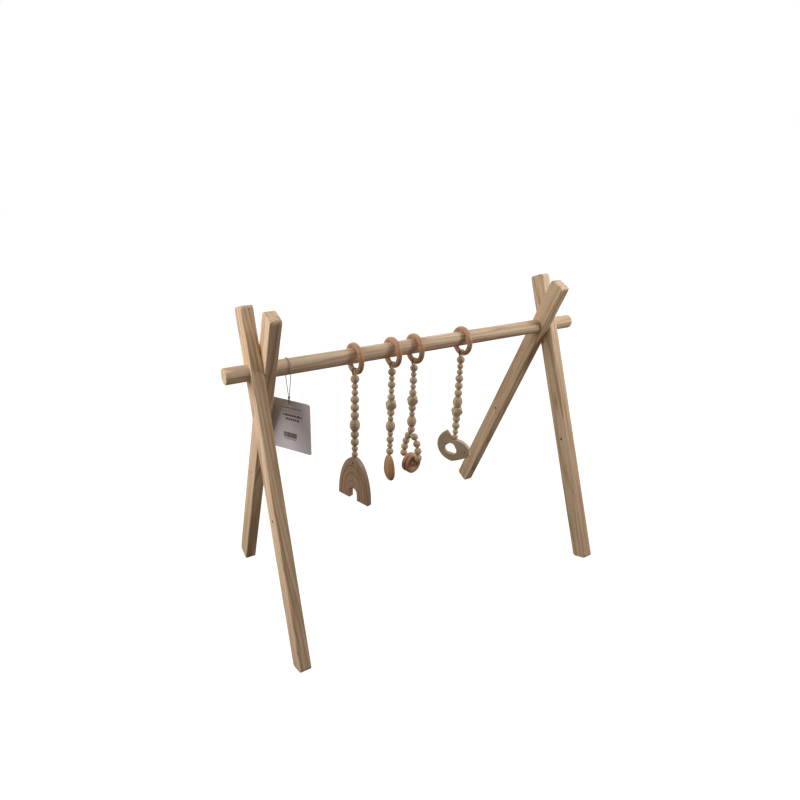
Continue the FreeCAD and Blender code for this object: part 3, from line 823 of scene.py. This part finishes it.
@dataclass
class BeadString:
    """Bar ring, its cord loop, a string of beads and the cord through them.

    Attributes:
        name: The toy's name, which starts its node names.
        order: Bead letters from the top.
        beads: The bead set.
        turn: Turn of the pendant about the cord, in degrees.
        seed: Sets how each bead lies in its timber.
    """

    name: str
    order: str
    beads: BeadSet
    turn: float
    seed: int
    ring_outer: float = 58.0
    ring_inner: float = 40.0
    ring_thick: float = 9.0
    ring_edge: float = 3.2
    cord: float = 2.0
    gap: float = 0.3
    neck: float = 0.9
    knot: float = 4.6
    loop_corner: float = 4.2

    def __post_init__(self) -> None:
        """Find the ring and the point where the string hangs."""
        low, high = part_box(self.name + "_bar_ring")
        self.centre = (low + high) / 2
        self.pivot = Vector((self.centre.x, 0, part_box(self.name + "_ring_cord")[0].z))
        self.rng = random.Random(self.seed)
        drop = sum(self.beads.height(Bead(letter)) + self.gap for letter in self.order)
        self.bottom = self.pivot - Vector((0, 0, drop * MM))

    def timber(self, reach: float = 60.0) -> Matrix:
        """Random place in the timber that one bead was turned from."""
        lean = Matrix.Rotation(self.rng.uniform(-0.35, 0.35), 4, "X")
        spin = Matrix.Rotation(self.rng.uniform(0, math.tau), 4, "Z")
        shift = Matrix.Translation([self.rng.uniform(-reach, reach) for _ in range(3)])
        return shift @ lean @ spin

    def hung(self, down: float) -> Matrix:
        """Frame of the pendant, at a distance under the last bead."""
        return (Matrix.Translation(self.bottom - Vector((0, 0, down * MM)))
                @ Matrix.Rotation(math.radians(self.turn), 4, "Z"))

    def build(self) -> None:
        """Make the ring, its loop and the beads."""
        ring = Work()
        upright = Matrix.Translation(self.centre) @ Matrix.Rotation(math.pi / 2, 4, "Y")
        ring.put(flat_ring(self.ring_outer, self.ring_inner, self.ring_thick, self.ring_edge), upright,
                 self.timber() @ Matrix.Rotation(math.pi / 2, 4, "X"))
        ring.finish(self.name + "_ring", self.name + "_ring", RING_BEECH.dress(self.name),
                    RING_BEECH.slot, [self.name + "_bar_ring"])
        self.build_loop()
        level = self.pivot.copy()
        works = {}
        for letter in self.order:
            bead = Bead(letter)
            height = self.beads.height(bead)
            level.z -= (self.gap + height / 2) * MM
            works.setdefault(bead, Work()).put(self.beads.cut(bead), Matrix.Translation(level), self.timber())
            level.z -= height / 2 * MM
        material = BEAD_BEECH.dress(self.name)
        for bead, work in works.items():
            node = self.name + "_" + NODE_OF_BEAD[bead]
            work.finish(node + "_fine", self.body_of_beads(), material, BEAD_BEECH.slot, [node])

    def body_of_beads(self) -> str:
        """Body that the beads ride on."""
        return self.name + "_string"

    def build_loop(self) -> None:
        """Lay the cord loop round the bottom of the bar ring."""
        radius = self.cord / 2 + self.gap
        half = self.ring_thick / 2 + radius
        top = -self.ring_inner / 2 + radius
        low = -self.ring_outer / 2 - radius
        points = []
        for x, z, dx, dz in ((-half, top, 1, -1), (half, top, -1, -1), (half, low, -1, 1),
                             (-half, low, 1, 1)):
            ends = [(x, 0, z + dz * self.loop_corner), (x + dx * 0.75, 0, z + dz * 0.75),
                    (x + dx * self.loop_corner, 0, z)]
            points.extend(ends if x * z > 0 else ends[::-1])
        work = Work()
        work.put(rope(smooth_line(points, closed=True), self.cord, 6.0), Matrix.Translation(self.centre))
        work.finish(self.name + "_ring_loop", self.name + "_hanger", TOY_CORD.dress(self.name + "_loop"),
                    TOY_CORD.slot, [self.name + "_ring_cord"])

    def build_cord(self, depth: float, knot: float = 0.0) -> None:
        """Lay the cord through the beads.

        Args:
            depth: How far it runs under the last bead.
            knot: Diameter of the knot at its end, or 0.
        """
        length = (self.pivot.z - self.bottom.z) / MM + depth
        work = Work()
        line = [Vector((0, 0, -length * i / 4)) for i in range(5)]
        work.put(rope(line, self.cord, 6.0, step=0.8, sides=18), Matrix.Translation(self.pivot))
        if knot:
            spread = knot / 2 - self.cord / 2
            wraps = [(spread * math.cos(i * 1.9), spread * math.sin(i * 1.9), -length - 1.6 + 0.4 * i)
                     for i in range(9)]
            work.put(rope(smooth_line(wraps), self.cord * 0.9, 5.0, sides=18),
                     Matrix.Translation(self.pivot))
        work.finish(self.name + "_string_line", self.body_of_beads(), TOY_CORD.dress(self.name + "_line"),
                    TOY_CORD.slot, [self.name + "_string_cord"])


@dataclass
class Rainbow(BeadString):
    """First toy: an arch-shaped plate with three engraved bows."""

    width: float = 79.0
    height: float = 91.0
    thick: float = 11.0
    arch_width: float = 19.5
    arch_height: float = 24.0
    rim: float = 1.2
    hole_drop: float = 10.5
    hole: float = 4.0
    bows: tuple[float, ...] = (0.25, 0.5, 0.75)
    groove_width: float = 1.5
    groove_depth: float = 0.6

    def edge_of_opening(self, share: float) -> Vector:
        """Point of the opening's edge, from the right foot at 0 to the left one at 1."""
        radius = self.arch_width / 2
        spring = self.arch_height - radius
        whole = 2 * spring + math.pi * radius
        run = whole * share
        if run < spring:
            return Vector((radius, run - self.height))
        if run > whole - spring:
            return Vector((-radius, whole - run - self.height))
        turn = (run - spring) / radius
        return Vector((radius * math.cos(turn), spring + radius * math.sin(turn) - self.height))

    def edge_of_plate(self, share: float) -> Vector:
        """Point of the outer edge, from the right foot at 0 to the left one at 1."""
        turn = math.pi * share
        return Vector((self.width / 2 * math.cos(turn), self.height * (math.sin(turn) - 1)))

    def section(self) -> bmesh.types.BMesh:
        """Section of the plate at its right foot, with the grooves of the bows.

        X holds 1 plus the share of the way from the opening to the outer edge. The "inset"
        layer holds what comes off that in millimetres, and "burn" how charred a point is.
        """
        bm = bmesh.new()
        inset = bm.verts.layers.float.new("inset")
        burn = bm.verts.layers.float.new("burn")
        half, rim = self.thick / 2, self.rim
        corner = [(rim * (1 - math.sin(i * math.pi / 10)), half - rim * (1 - math.cos(i * math.pi / 10)))
                  for i in range(5, 0, -1)]
        front = [(0.0, off, depth, 0.0) for off, depth in corner]
        for bow in self.bows:
            for i in range(-4, 5):
                sink = math.cos(i * math.pi / 8)
                front.append((bow, i * self.groove_width / 8, half - self.groove_depth * sink, sink))
        front += [(1.0, -off, depth, 0.0) for off, depth in reversed(corner)]
        loop = []
        for side, points in ((-1, front), (1, list(reversed(front)))):
            for share, off, depth, charred in points:
                vertex = bm.verts.new((1 + share, side * depth, 0))
                vertex[inset] = off
                vertex[burn] = charred
                loop.append(vertex)
        for here, there in zip(loop, [*loop[1:], loop[0]]):
            bm.edges.new((here, there))
        return bm

    def build_plate(self) -> None:
        """Bend the section over the arch, close the feet and drill the knot hole."""
        bm = self.section()
        bmesh.ops.spin(bm, geom=bm.verts[:] + bm.edges[:], cent=(0, 0, 0), axis=(0, -1, 0),
                       angle=math.pi, steps=120)
        open_edges = [edge for edge in bm.edges if edge.is_boundary]
        feet = bmesh.ops.holes_fill(bm, edges=open_edges, sides=0)["faces"]
        inset = bm.verts.layers.float["inset"]
        for vertex in bm.verts:
            share = math.hypot(vertex.co.x, vertex.co.z) - 1
            around = math.atan2(max(vertex.co.z, 0.0), vertex.co.x) / math.pi
            near, far = self.edge_of_opening(around), self.edge_of_plate(around)
            spot = near.lerp(far, share) + (far - near).normalized() * vertex[inset]
            vertex.co = (spot.x, vertex.co.y, spot.y)
        bmesh.ops.bevel(bm, geom=list({edge for face in feet for edge in face.edges}), offset=self.rim,
                        offset_type="OFFSET", affect="EDGES", segments=3, profile=0.5, material=-1,
                        clamp_overlap=True)
        bmesh.ops.recalc_face_normals(bm, faces=bm.faces)
        mesh = bpy.data.meshes.new("plate")
        bm.to_mesh(mesh)
        bm.free()
        drill_bm = bmesh.new()
        bmesh.ops.create_cone(drill_bm, cap_ends=True, segments=28, radius1=self.hole / 2,
                              radius2=self.hole / 2, depth=self.thick * 2)
        bmesh.ops.rotate(drill_bm, verts=drill_bm.verts, cent=(0, 0, 0),
                         matrix=Matrix.Rotation(math.pi / 2, 3, "X"))
        bmesh.ops.translate(drill_bm, verts=drill_bm.verts, vec=(0, 0, -self.hole_drop))
        drill_mesh = bpy.data.meshes.new("drill")
        drill_bm.to_mesh(drill_mesh)
        drill_bm.free()
        drill = bpy.data.objects.new("drill", drill_mesh)
        bpy.context.collection.objects.link(drill)

        def bore(holder: bpy.types.Object) -> None:
            """Drill the knot hole."""
            cut = holder.modifiers.new("knot_hole", "BOOLEAN")
            cut.object = drill
            cut.operation = "DIFFERENCE"
            cut.solver = "FAST"

        drilled = evaluated(mesh, bore)
        bpy.data.objects.remove(drill)
        bpy.data.meshes.remove(drill_mesh)
        part = bmesh.new()
        part.from_mesh(drilled)
        bpy.data.meshes.remove(drilled)
        work = Work()
        work.put(part, self.hung(self.neck), Matrix.Translation((6, 40, 0)))
        work.finish("rainbow_pendant_fine", "rainbow_pendant", PLATE_BEECH.dress("rainbow", burnt="4a2416"),
                    PLATE_BEECH.slot, ["rainbow_plate"], crease=42)

    def build(self) -> None:
        """Make the whole toy."""
        super().build()
        self.build_plate()
        self.build_cord(self.neck + self.hole_drop, self.knot)


@dataclass
class Drop(BeadString):
    """Second toy: a flat egg-shaped pebble."""

    length: float = 57.0
    width: float = 41.0
    thick: float = 15.5
    bore_depth: float = 9.0
    crown_sink: float = 1.6

    def build_pebble(self) -> None:
        """Shape a ball to an egg, flatten it and sink the cord's bore."""
        half = self.width / 2
        upper = self.length - half
        bm = bmesh.new()
        bmesh.ops.create_uvsphere(bm, u_segments=64, v_segments=48, radius=half)
        for vertex in bm.verts:
            if vertex.co.z > 0:
                vertex.co.z *= upper / half
        bmesh.ops.scale(bm, vec=(1, self.thick / self.width, 1), verts=bm.verts)
        crown = max(bm.verts, key=lambda v: v.co.z)
        bmesh.ops.translate(bm, vec=(0, 0, -upper), verts=bm.verts)
        crown.co.z -= self.crown_sink
        work = Work()
        work.put(bm, self.hung(self.neck), Matrix.Rotation(0.12, 4, "Y") @ Matrix.Translation((2, 9, 0)))
        work.finish("drop_pendant_fine", "drop_pendant", PEBBLE_WOOD.dress("pebble"), PEBBLE_WOOD.slot,
                    ["drop_pebble"])

    def build(self) -> None:
        """Make the whole toy."""
        super().build()
        self.build_pebble()
        self.build_cord(self.neck + self.bore_depth, self.knot)


@dataclass
class Hoop(BeadString):
    """Third toy: a loop of beads with two small rings on it."""

    hoop_outer: float = 40.0
    hoop_inner: float = 19.0
    hoop_thick: float = 9.0
    hoop_edge: float = 2.4
    loop_beads: int = 4
    front_start: float = 10.4
    back_start: float = 10.6

    def build_loop_of_beads(self) -> None:
        """Lay the loop's cord and thread its beads, four on each side."""
        points = [(1.8, 0, 0.5), (12.6, 0, -6.6), (19.0, 0, -26.0), (22.6, 0, -45.5), (19.5, 0, -54.5),
                  (11.0, 0, -57.0), (0.0, 0, -57.0), (-11.0, 0, -57.0), (-18.2, 0, -53.5), (-18.0, 0, -46.0),
                  (-15.0, 0, -27.0), (-9.5, 0, -9.0), (-1.8, 0, 0.3)]
        line = smooth_line(points, closed=True)
        start = min(range(len(line) - 1), key=lambda i: line[i].length)
        line = line[start:-1] + line[:start + 1]
        if line[1].x < line[0].x:
            line.reverse()
        place = self.hung(self.neck + self.cord / 2)
        work = Work()
        work.put(rope(line, self.cord, 6.0), place)
        work.finish("hoop_loop_line", "hoop_loop", TOY_CORD.dress("hoop_loop"), TOY_CORD.slot,
                    ["hoop_loop_cord"])
        lengths = distances(line)
        total = lengths[-1]
        step = self.beads.large + self.gap
        runs = [self.front_start + i * step for i in range(self.loop_beads)]
        runs += [total - self.back_start - i * step for i in range(self.loop_beads)]
        work = Work()
        for run in runs:
            spot = next(i for i in range(len(lengths) - 1) if lengths[i + 1] >= run)
            way = (line[spot + 1] - line[spot]).normalized()
            point = line[spot] + way * (run - lengths[spot])
            turned = way.to_track_quat("Z", "Y").to_matrix().to_4x4()
            spot_on_cord = place @ Matrix.Translation(point * MM) @ turned
            work.put(self.beads.cut(Bead.LARGE), spot_on_cord, self.timber())
        work.finish("hoop_loop_beads_fine", "hoop_loop", BEAD_BEECH.dress("hoop_loop"), BEAD_BEECH.slot,
                    ["hoop_loop_large_beads"])

    def build_rings(self) -> None:
        """Turn the two small rings and hang them on the loop."""
        for name in ("front", "back"):
            low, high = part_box(f"hoop_{name}_ring")
            place = (Matrix.Translation((low + high) / 2) @ Matrix.Rotation(math.radians(self.turn), 4, "Z")
                     @ Matrix.Rotation(math.pi / 2, 4, "Y"))
            work = Work()
            work.put(flat_ring(self.hoop_outer, self.hoop_inner, self.hoop_thick, self.hoop_edge, 72), place,
                     self.timber() @ Matrix.Rotation(math.pi / 2, 4, "X"))
            work.finish(f"hoop_{name}_ring_fine", f"hoop_{name}_ring", RING_BEECH.dress(f"hoop_{name}"),
                        RING_BEECH.slot, [f"hoop_{name}_ring"])

    def build(self) -> None:
        """Make the whole toy."""
        super().build()
        self.build_loop_of_beads()
        self.build_rings()
        self.build_cord(0.0)


@dataclass
class Bird(BeadString):
    """Fourth toy: a bird-shaped plate with a finger hole."""

    thick: float = 10.0
    rim: float = 1.2
    eye: float = 3.2
    finger_corners: tuple[Flat, ...] = ((-3.8, -2.5), (-31.5, -31.0), (13.5, -36.0))
    finger_radius: float = 9.0
    cord_depth: float = 9.6

    def build_plate(self) -> None:
        """Cut the bird, its finger hole and its eye."""
        outline = (through((-18.5, 18.0), (-36.8, -20.0), (-1.5, -50.5), 56)
                   + through((-1.5, -50.5), (19.0, -41.0), (37.5, -27.8), 28)
                   + [(37.5, -27.8), (34.6, -22.5)]
                   + through((34.2, -14.6), (21.0, -2.6), (-3.2, -0.2), 36)
                   + [(-3.2, -0.2)])
        finger = self.rounded(self.finger_corners, self.finger_radius, 12)
        plate = flat_plate([outline, finger, circle(26.0, -23.0, self.eye / 2)], self.thick, self.rim)
        part = bmesh.new()
        part.from_mesh(plate)
        bpy.data.meshes.remove(plate)
        bmesh.ops.remove_doubles(part, verts=part.verts, dist=1e-3)
        work = Work()
        work.put(part, self.hung(self.neck), Matrix.Translation((0, 25, 300)) @ Matrix.Rotation(1.1, 4, "Y"))
        made = work.finish("bird_pendant_fine", "bird_pendant", PALE_BEECH.dress("bird"), PALE_BEECH.slot,
                           ["bird_plate"], crease=30)
        made.modifiers.new("even_faces", "WEIGHTED_NORMAL").keep_sharp = True

    @staticmethod
    def rounded(corners: Sequence[Flat], radius: float, steps: int) -> list[Flat]:
        """Outline with rounded corners.

        Args:
            corners: Its corners in order.
            radius: Rounding of each corner.
            steps: Parts of each rounding.

        Returns:
            The outline's points.
        """
        points = []
        for i, corner in enumerate(corners):
            here = Vector(corner)
            back = (Vector(corners[i - 1]) - here).normalized()
            ahead = (Vector(corners[(i + 1) % len(corners)]) - here).normalized()
            half = back.angle(ahead) / 2
            reach = radius / math.tan(half)
            inward = (back + ahead).normalized()
            middle = here + inward * (radius / math.sin(half) - radius)
            start, end = here + back * reach, here + ahead * reach
            points.extend(through(tuple(start), tuple(middle), tuple(end), steps))
            points.append(tuple(end))
        return points

    def build(self) -> None:
        """Make the whole toy."""
        super().build()
        self.build_plate()
        self.build_cord(self.neck + self.cord_depth)


# ---------------------------------------------------------------- swing tag
@dataclass(frozen=True)
class Card:
    """Coated white card with a plain generic print: rules, bars and a striped block.

    Attributes:
        paper: Colour of the coated face.
        ink: Colour of the print.
    """

    paper: str = "d5d4e2"
    ink: str = "3a3231"

    def dress(self, place: Matrix) -> bpy.types.Material:
        """Make the material.

        Args:
            place: The card's own frame in the object's metres, from the middle of its top edge.

        Returns:
            The material.
        """
        material, tree = new_material("coated_card")
        flat = in_frame(tree, place)
        split = add(tree, "ShaderNodeSeparateXYZ", {"Vector": flat})
        # Rows of print: left, right, top, bottom, and the length of one mark along the row.
        rows = ((-16, 24, -14.2, -15.6, 1.4), (-19, 28, -21.6, -22.0, 0.0),
                (-14, 25, -26.8, -30.6, 3.3), (-8.5, 19, -34.4, -38.0, 3.3),
                (-14.5, 13, -62.4, -72.6, 0.9), (-13, 11.5, -74.6, -76.2, 1.3))
        ink = None
        for left, right, top, bottom, mark in rows:
            mask = self.box(tree, split, left, right, top, bottom)
            if mark:
                mask = self.broken(tree, flat, mask, mark)
            ink = mask if ink is None else add(tree, "ShaderNodeMath", {0: ink, 1: mask},
                                               operation="MAXIMUM").outputs[0]
        # Paper fibres: a faint cloud 0.6 mm across.
        fibre = add(tree, "ShaderNodeTexNoise", {"Vector": flat, "Scale": 1.6, "Detail": 3.0})
        cloud = add(tree, "ShaderNodeMapRange",
                    {"Value": fibre.outputs["Fac"], "To Min": 0.94, "To Max": 1.04})
        paper = add(tree, "ShaderNodeVectorMath",
                    {0: linear(self.paper)[:3], "Scale": cloud.outputs[0]}, operation="SCALE")
        tone = add(tree, "ShaderNodeMix", {"Factor": ink, 6: paper.outputs["Vector"], 7: linear(self.ink)},
                   data_type="RGBA")
        bump = add(tree, "ShaderNodeBump", {"Strength": 0.15, "Distance": 0.03 * MM,
                                            "Height": fibre.outputs["Fac"]})
        surface(tree, {"Base Color": tone.outputs[2], "Roughness": 0.42, "Normal": bump.outputs["Normal"]})
        return material

    @staticmethod
    def box(tree: bpy.types.NodeTree, split: bpy.types.Node, left: float, right: float, top: float,
            bottom: float) -> bpy.types.NodeSocket:
        """Mask that is 1 inside a box of the card."""
        sides = []
        for axis, low, high in (("X", left, right), ("Z", bottom, top)):
            inside = add(tree, "ShaderNodeMath", {0: split.outputs[axis], 1: (low + high) / 2,
                                                  2: (high - low) / 2}, operation="COMPARE")
            sides.append(inside.outputs[0])
        return add(tree, "ShaderNodeMath", {0: sides[0], 1: sides[1]}, operation="MULTIPLY").outputs[0]

    @staticmethod
    def broken(tree: bpy.types.NodeTree, flat: bpy.types.NodeSocket, mask: bpy.types.NodeSocket,
               mark: float) -> bpy.types.NodeSocket:
        """Break a row into marks of uneven length."""
        along = add(tree, "ShaderNodeMapping", {"Vector": flat, "Scale": (1 / mark, 0, 0)})
        cells = add(tree, "ShaderNodeTexNoise",
                    {"Vector": along.outputs["Vector"], "Scale": 1.6, "Detail": 0.0})
        marks = add(tree, "ShaderNodeMath", {0: cells.outputs["Fac"], 1: 0.43}, operation="GREATER_THAN")
        return add(tree, "ShaderNodeMath", {0: mask, 1: marks.outputs[0]}, operation="MULTIPLY").outputs[0]


@dataclass
class SwingTag:
    """Card on a cotton string that is looped over the bar."""

    turn: float = -57.0
    thick: float = 0.8
    hole: float = 4.0
    hole_drop: float = 11.0
    top_drop: float = 61.5
    string: float = 1.4
    string_length: float = 158.1
    middle_x: float = -273.0

    def __post_init__(self) -> None:
        """Find the bar's axis over the card."""
        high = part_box("tag_card")[1]
        self.axis = Vector((self.middle_x * MM, 0, high.z + self.top_drop * MM))

    def dress_card(self) -> bpy.types.Object:
        """Print the card, which keeps its CAD shape."""
        place = (Matrix.Translation(self.axis - Vector((0, 0, self.top_drop * MM)))
                 @ Matrix.Rotation(math.radians(self.turn), 4, "Z"))
        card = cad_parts["tag_card"]
        card.data.materials.clear()
        card.data.materials.append(Card().dress(place))
        return card

    def build_knot(self) -> bpy.types.Object:
        """Tie the knot and pass its eyelet through the card's hole."""
        place = Matrix.Translation(self.axis) @ Matrix.Rotation(math.radians(self.turn), 4, "Z")
        wraps = [(1.9 * math.cos(i * 1.35), 1.9 * math.sin(i * 1.35), -54.9 - 0.26 * i) for i in range(14)]
        reach = self.thick / 2 + 0.3 + self.string / 2
        foot = -self.top_drop - self.hole_drop - self.hole / 2 + self.string / 2
        eyelet = [(0, -0.8, -57.2), (0, -reach, -60.5), (0, -reach, foot + 1.4), (0, -reach * 0.7, foot),
                  (0, reach * 0.7, foot), (0, reach, foot + 1.4), (0, reach, -60.5), (0, 0.8, -57.2)]
        core = [(0, -2.0, -53.8), (0, -0.7, -55.4), (0, -0.5, -58.0)]
        mate = [(0, 2.0, -53.8), (0, 0.7, -55.4), (0, 0.5, -58.0)]
        work = Work()
        for points in (wraps, eyelet, core, mate):
            work.put(rope(smooth_line(points), self.string, 4.0, step=0.25, sides=18), place)
        return work.finish("tag_knot_fine", "tag", TAG_COTTON.dress("knot"), TAG_COTTON.slot, ["tag_knot"])

    def build_string(self, pieces: Sequence[bpy.types.Object]) -> None:
        """Lay the string up, over the bar and down again.

        Args:
            pieces: The card and the knot that hang on it. Not used.
        """
        route = [(0, -2.2, -54.0), (0, -13.7, -7.0), (0, -17.0, 6.5), (0, 0, 18.2), (0, 17.0, 6.5),
                 (0, 13.7, -7.0), (0, 2.2, -54.0)]
        line = smooth_line(route)
        work = Work()
        work.put(rope(line, self.string, 4.0, step=0.25, sides=18), Matrix.Translation(self.axis))
        made = work.finish("tag_string_fine", "tag", TAG_COTTON.dress("string"), TAG_COTTON.slot,
                           ["tag_string"])

    def build(self) -> None:
        """Make the whole tag."""
        self.build_string([self.build_knot(), self.dress_card()])


# ---------------------------------------------------------------- studio
@dataclass
class Studio:
    """White cove with two soft boxes and the camera.

    Attributes:
        place: The camera, in metres.
        yaw: Its heading from +Y towards -X, in degrees.
        pitch: Its tilt above the horizon.
        roll: Its turn about the view.
        lens: Focal length on a 36 mm sensor.
        shift: Shift of the picture, as shares of its width.
        dim_side: Colour of the cove on the camera's side.
        bright_side: Colour of the cove behind the object.
        floor: Colour of the floor in the light that it throws back.
    """

    place: Point = (-0.6192, -0.8922, 0.8554)
    yaw: float = -31.87
    pitch: float = -23.54
    roll: float = 1.61
    lens: float = 27.23
    shift: tuple[float, float] = (0.0088, -0.0100)
    dim_side: str = "5c5044"
    bright_side: str = "fffaf4"
    floor: str = "6c6660"

    def build_camera(self) -> None:
        """Set up the camera."""
        yaw, pitch, roll = (math.radians(a) for a in (self.yaw, self.pitch, self.roll))
        ahead = Vector((-math.sin(yaw) * math.cos(pitch), math.cos(yaw) * math.cos(pitch), math.sin(pitch)))
        level = ahead.cross(Vector((0, 0, 1))).normalized()
        over = level.cross(ahead)
        right = level * math.cos(roll) + over * math.sin(roll)
        up = over * math.cos(roll) - level * math.sin(roll)
        data = bpy.data.cameras.new("camera")
        data.lens = self.lens
        data.sensor_width = 36.0
        data.shift_x, data.shift_y = self.shift
        data.clip_start = 0.02
        camera = bpy.data.objects.new("camera", data)
        bpy.context.collection.objects.link(camera)
        turn = Matrix((right, up, -ahead)).transposed().to_4x4()
        camera.matrix_world = Matrix.Translation(self.place) @ turn
        bpy.context.scene.camera = camera

    def build_box(self, name: str, place: Point, aim: Point, size: tuple[float, float], power: float,
                  colour: str) -> None:
        """Hang a soft box.

        Args:
            name: Its name.
            place: Where it hangs, in metres.
            aim: What it points at.
            size: Width and height in metres.
            power: Power in watts.
            colour: Colour of its light.
        """
        data = bpy.data.lights.new(name, "AREA")
        data.shape = "RECTANGLE"
        data.size, data.size_y = size
        data.energy = power
        data.color = linear(colour)[:3]
        box = bpy.data.objects.new(name, data)
        bpy.context.collection.objects.link(box)
        way = Vector(aim) - Vector(place)
        box.matrix_world = Matrix.Translation(place) @ way.to_track_quat("-Z", "Y").to_matrix().to_4x4()

    def build_world(self) -> None:
        """Light from a white cove: bright behind the object, dim on the camera's side."""
        world = bpy.data.worlds.new("cove")
        bpy.context.scene.world = world
        world.use_nodes = True
        tree = world.node_tree
        tree.nodes.clear()
        way = add(tree, "ShaderNodeTexCoord").outputs["Generated"]
        facing = add(tree, "ShaderNodeVectorMath", {0: way, 1: (0.50, 0.80, 0.33)}, operation="DOT_PRODUCT")
        share = add(tree, "ShaderNodeMapRange", {"Value": facing.outputs["Value"], "From Min": -0.25,
                                                 "From Max": 0.65}, interpolation_type="SMOOTHSTEP")
        tone = add(tree, "ShaderNodeMix", {"Factor": share.outputs[0], 6: linear(self.dim_side),
                                           7: linear(self.bright_side)}, data_type="RGBA")
        shown = add(tree, "ShaderNodeMix", {"Factor": self.seen(tree), 6: tone.outputs[2], 7: (1, 1, 1, 1)},
                    data_type="RGBA")
        light = add(tree, "ShaderNodeBackground", {"Color": shown.outputs[2], "Strength": 1.0})
        add(tree, "ShaderNodeOutputWorld", {"Surface": light.outputs[0]})

    @staticmethod
    def seen(tree: bpy.types.NodeTree) -> bpy.types.NodeSocket:
        """1 where the camera sees a thing straight or through glass."""
        path = add(tree, "ShaderNodeLightPath")
        straight, glass = path.outputs["Is Camera Ray"], path.outputs["Is Transmission Ray"]
        return add(tree, "ShaderNodeMath", {0: straight, 1: glass}, operation="MAXIMUM").outputs[0]

    def build_floor(self) -> None:
        """Lay a white floor that keeps a faint shadow."""
        bm = bmesh.new()
        bmesh.ops.create_grid(bm, x_segments=1, y_segments=1, size=6)
        mesh = bpy.data.meshes.new("floor")
        bm.to_mesh(mesh)
        bm.free()
        floor = bpy.data.objects.new("floor", mesh)
        bpy.context.collection.objects.link(floor)
        material, tree = new_material("white_floor")
        matt = add(tree, "ShaderNodeBsdfDiffuse", {"Color": linear(self.floor)})
        glow = add(tree, "ShaderNodeEmission", {"Color": (1, 1, 1, 1), "Strength": self.seen(tree)})
        both = add(tree, "ShaderNodeAddShader", {0: matt.outputs[0], 1: glow.outputs[0]})
        add(tree, "ShaderNodeOutputMaterial", {"Surface": both.outputs[0]})
        mesh.materials.append(material)

    def build(self) -> None:
        """Set up the whole studio."""
        self.build_camera()
        self.build_world()
        self.build_floor()
        self.build_box("left_box", (-1.15, 0.10, 0.85), (-0.3, 0.0, 0.40), (0.85, 0.85), 10.0, "fff8f0")
        self.build_box("right_box", (0.80, -0.50, 0.95), (0.34, 0.0, 0.45), (0.35, 0.35), 5.4, "fff8f0")
        bpy.context.scene.view_settings.view_transform = "Standard"


def main() -> None:
    """Build the play gym and its studio."""
    logging.basicConfig(level=logging.INFO, format="%(name)s: %(message)s")
    Studio().build()
    SwingTag().build()
    Stand().build()
    Rainbow("rainbow", "LSSLLLRLLSS", BIG_SET, -72.0, 3).build()
    Drop("drop", "LSLSLFLSRSLSL", FINE_SET, -96.0, 11).build()
    Hoop("hoop", "LSLSLFLSRL", FINE_SET, -76.0, 19).build()
    Bird("bird", "LSSLLLRFLLSS", BIG_SET, -58.0, 27).build()


if __name__ == "__main__":
    main()
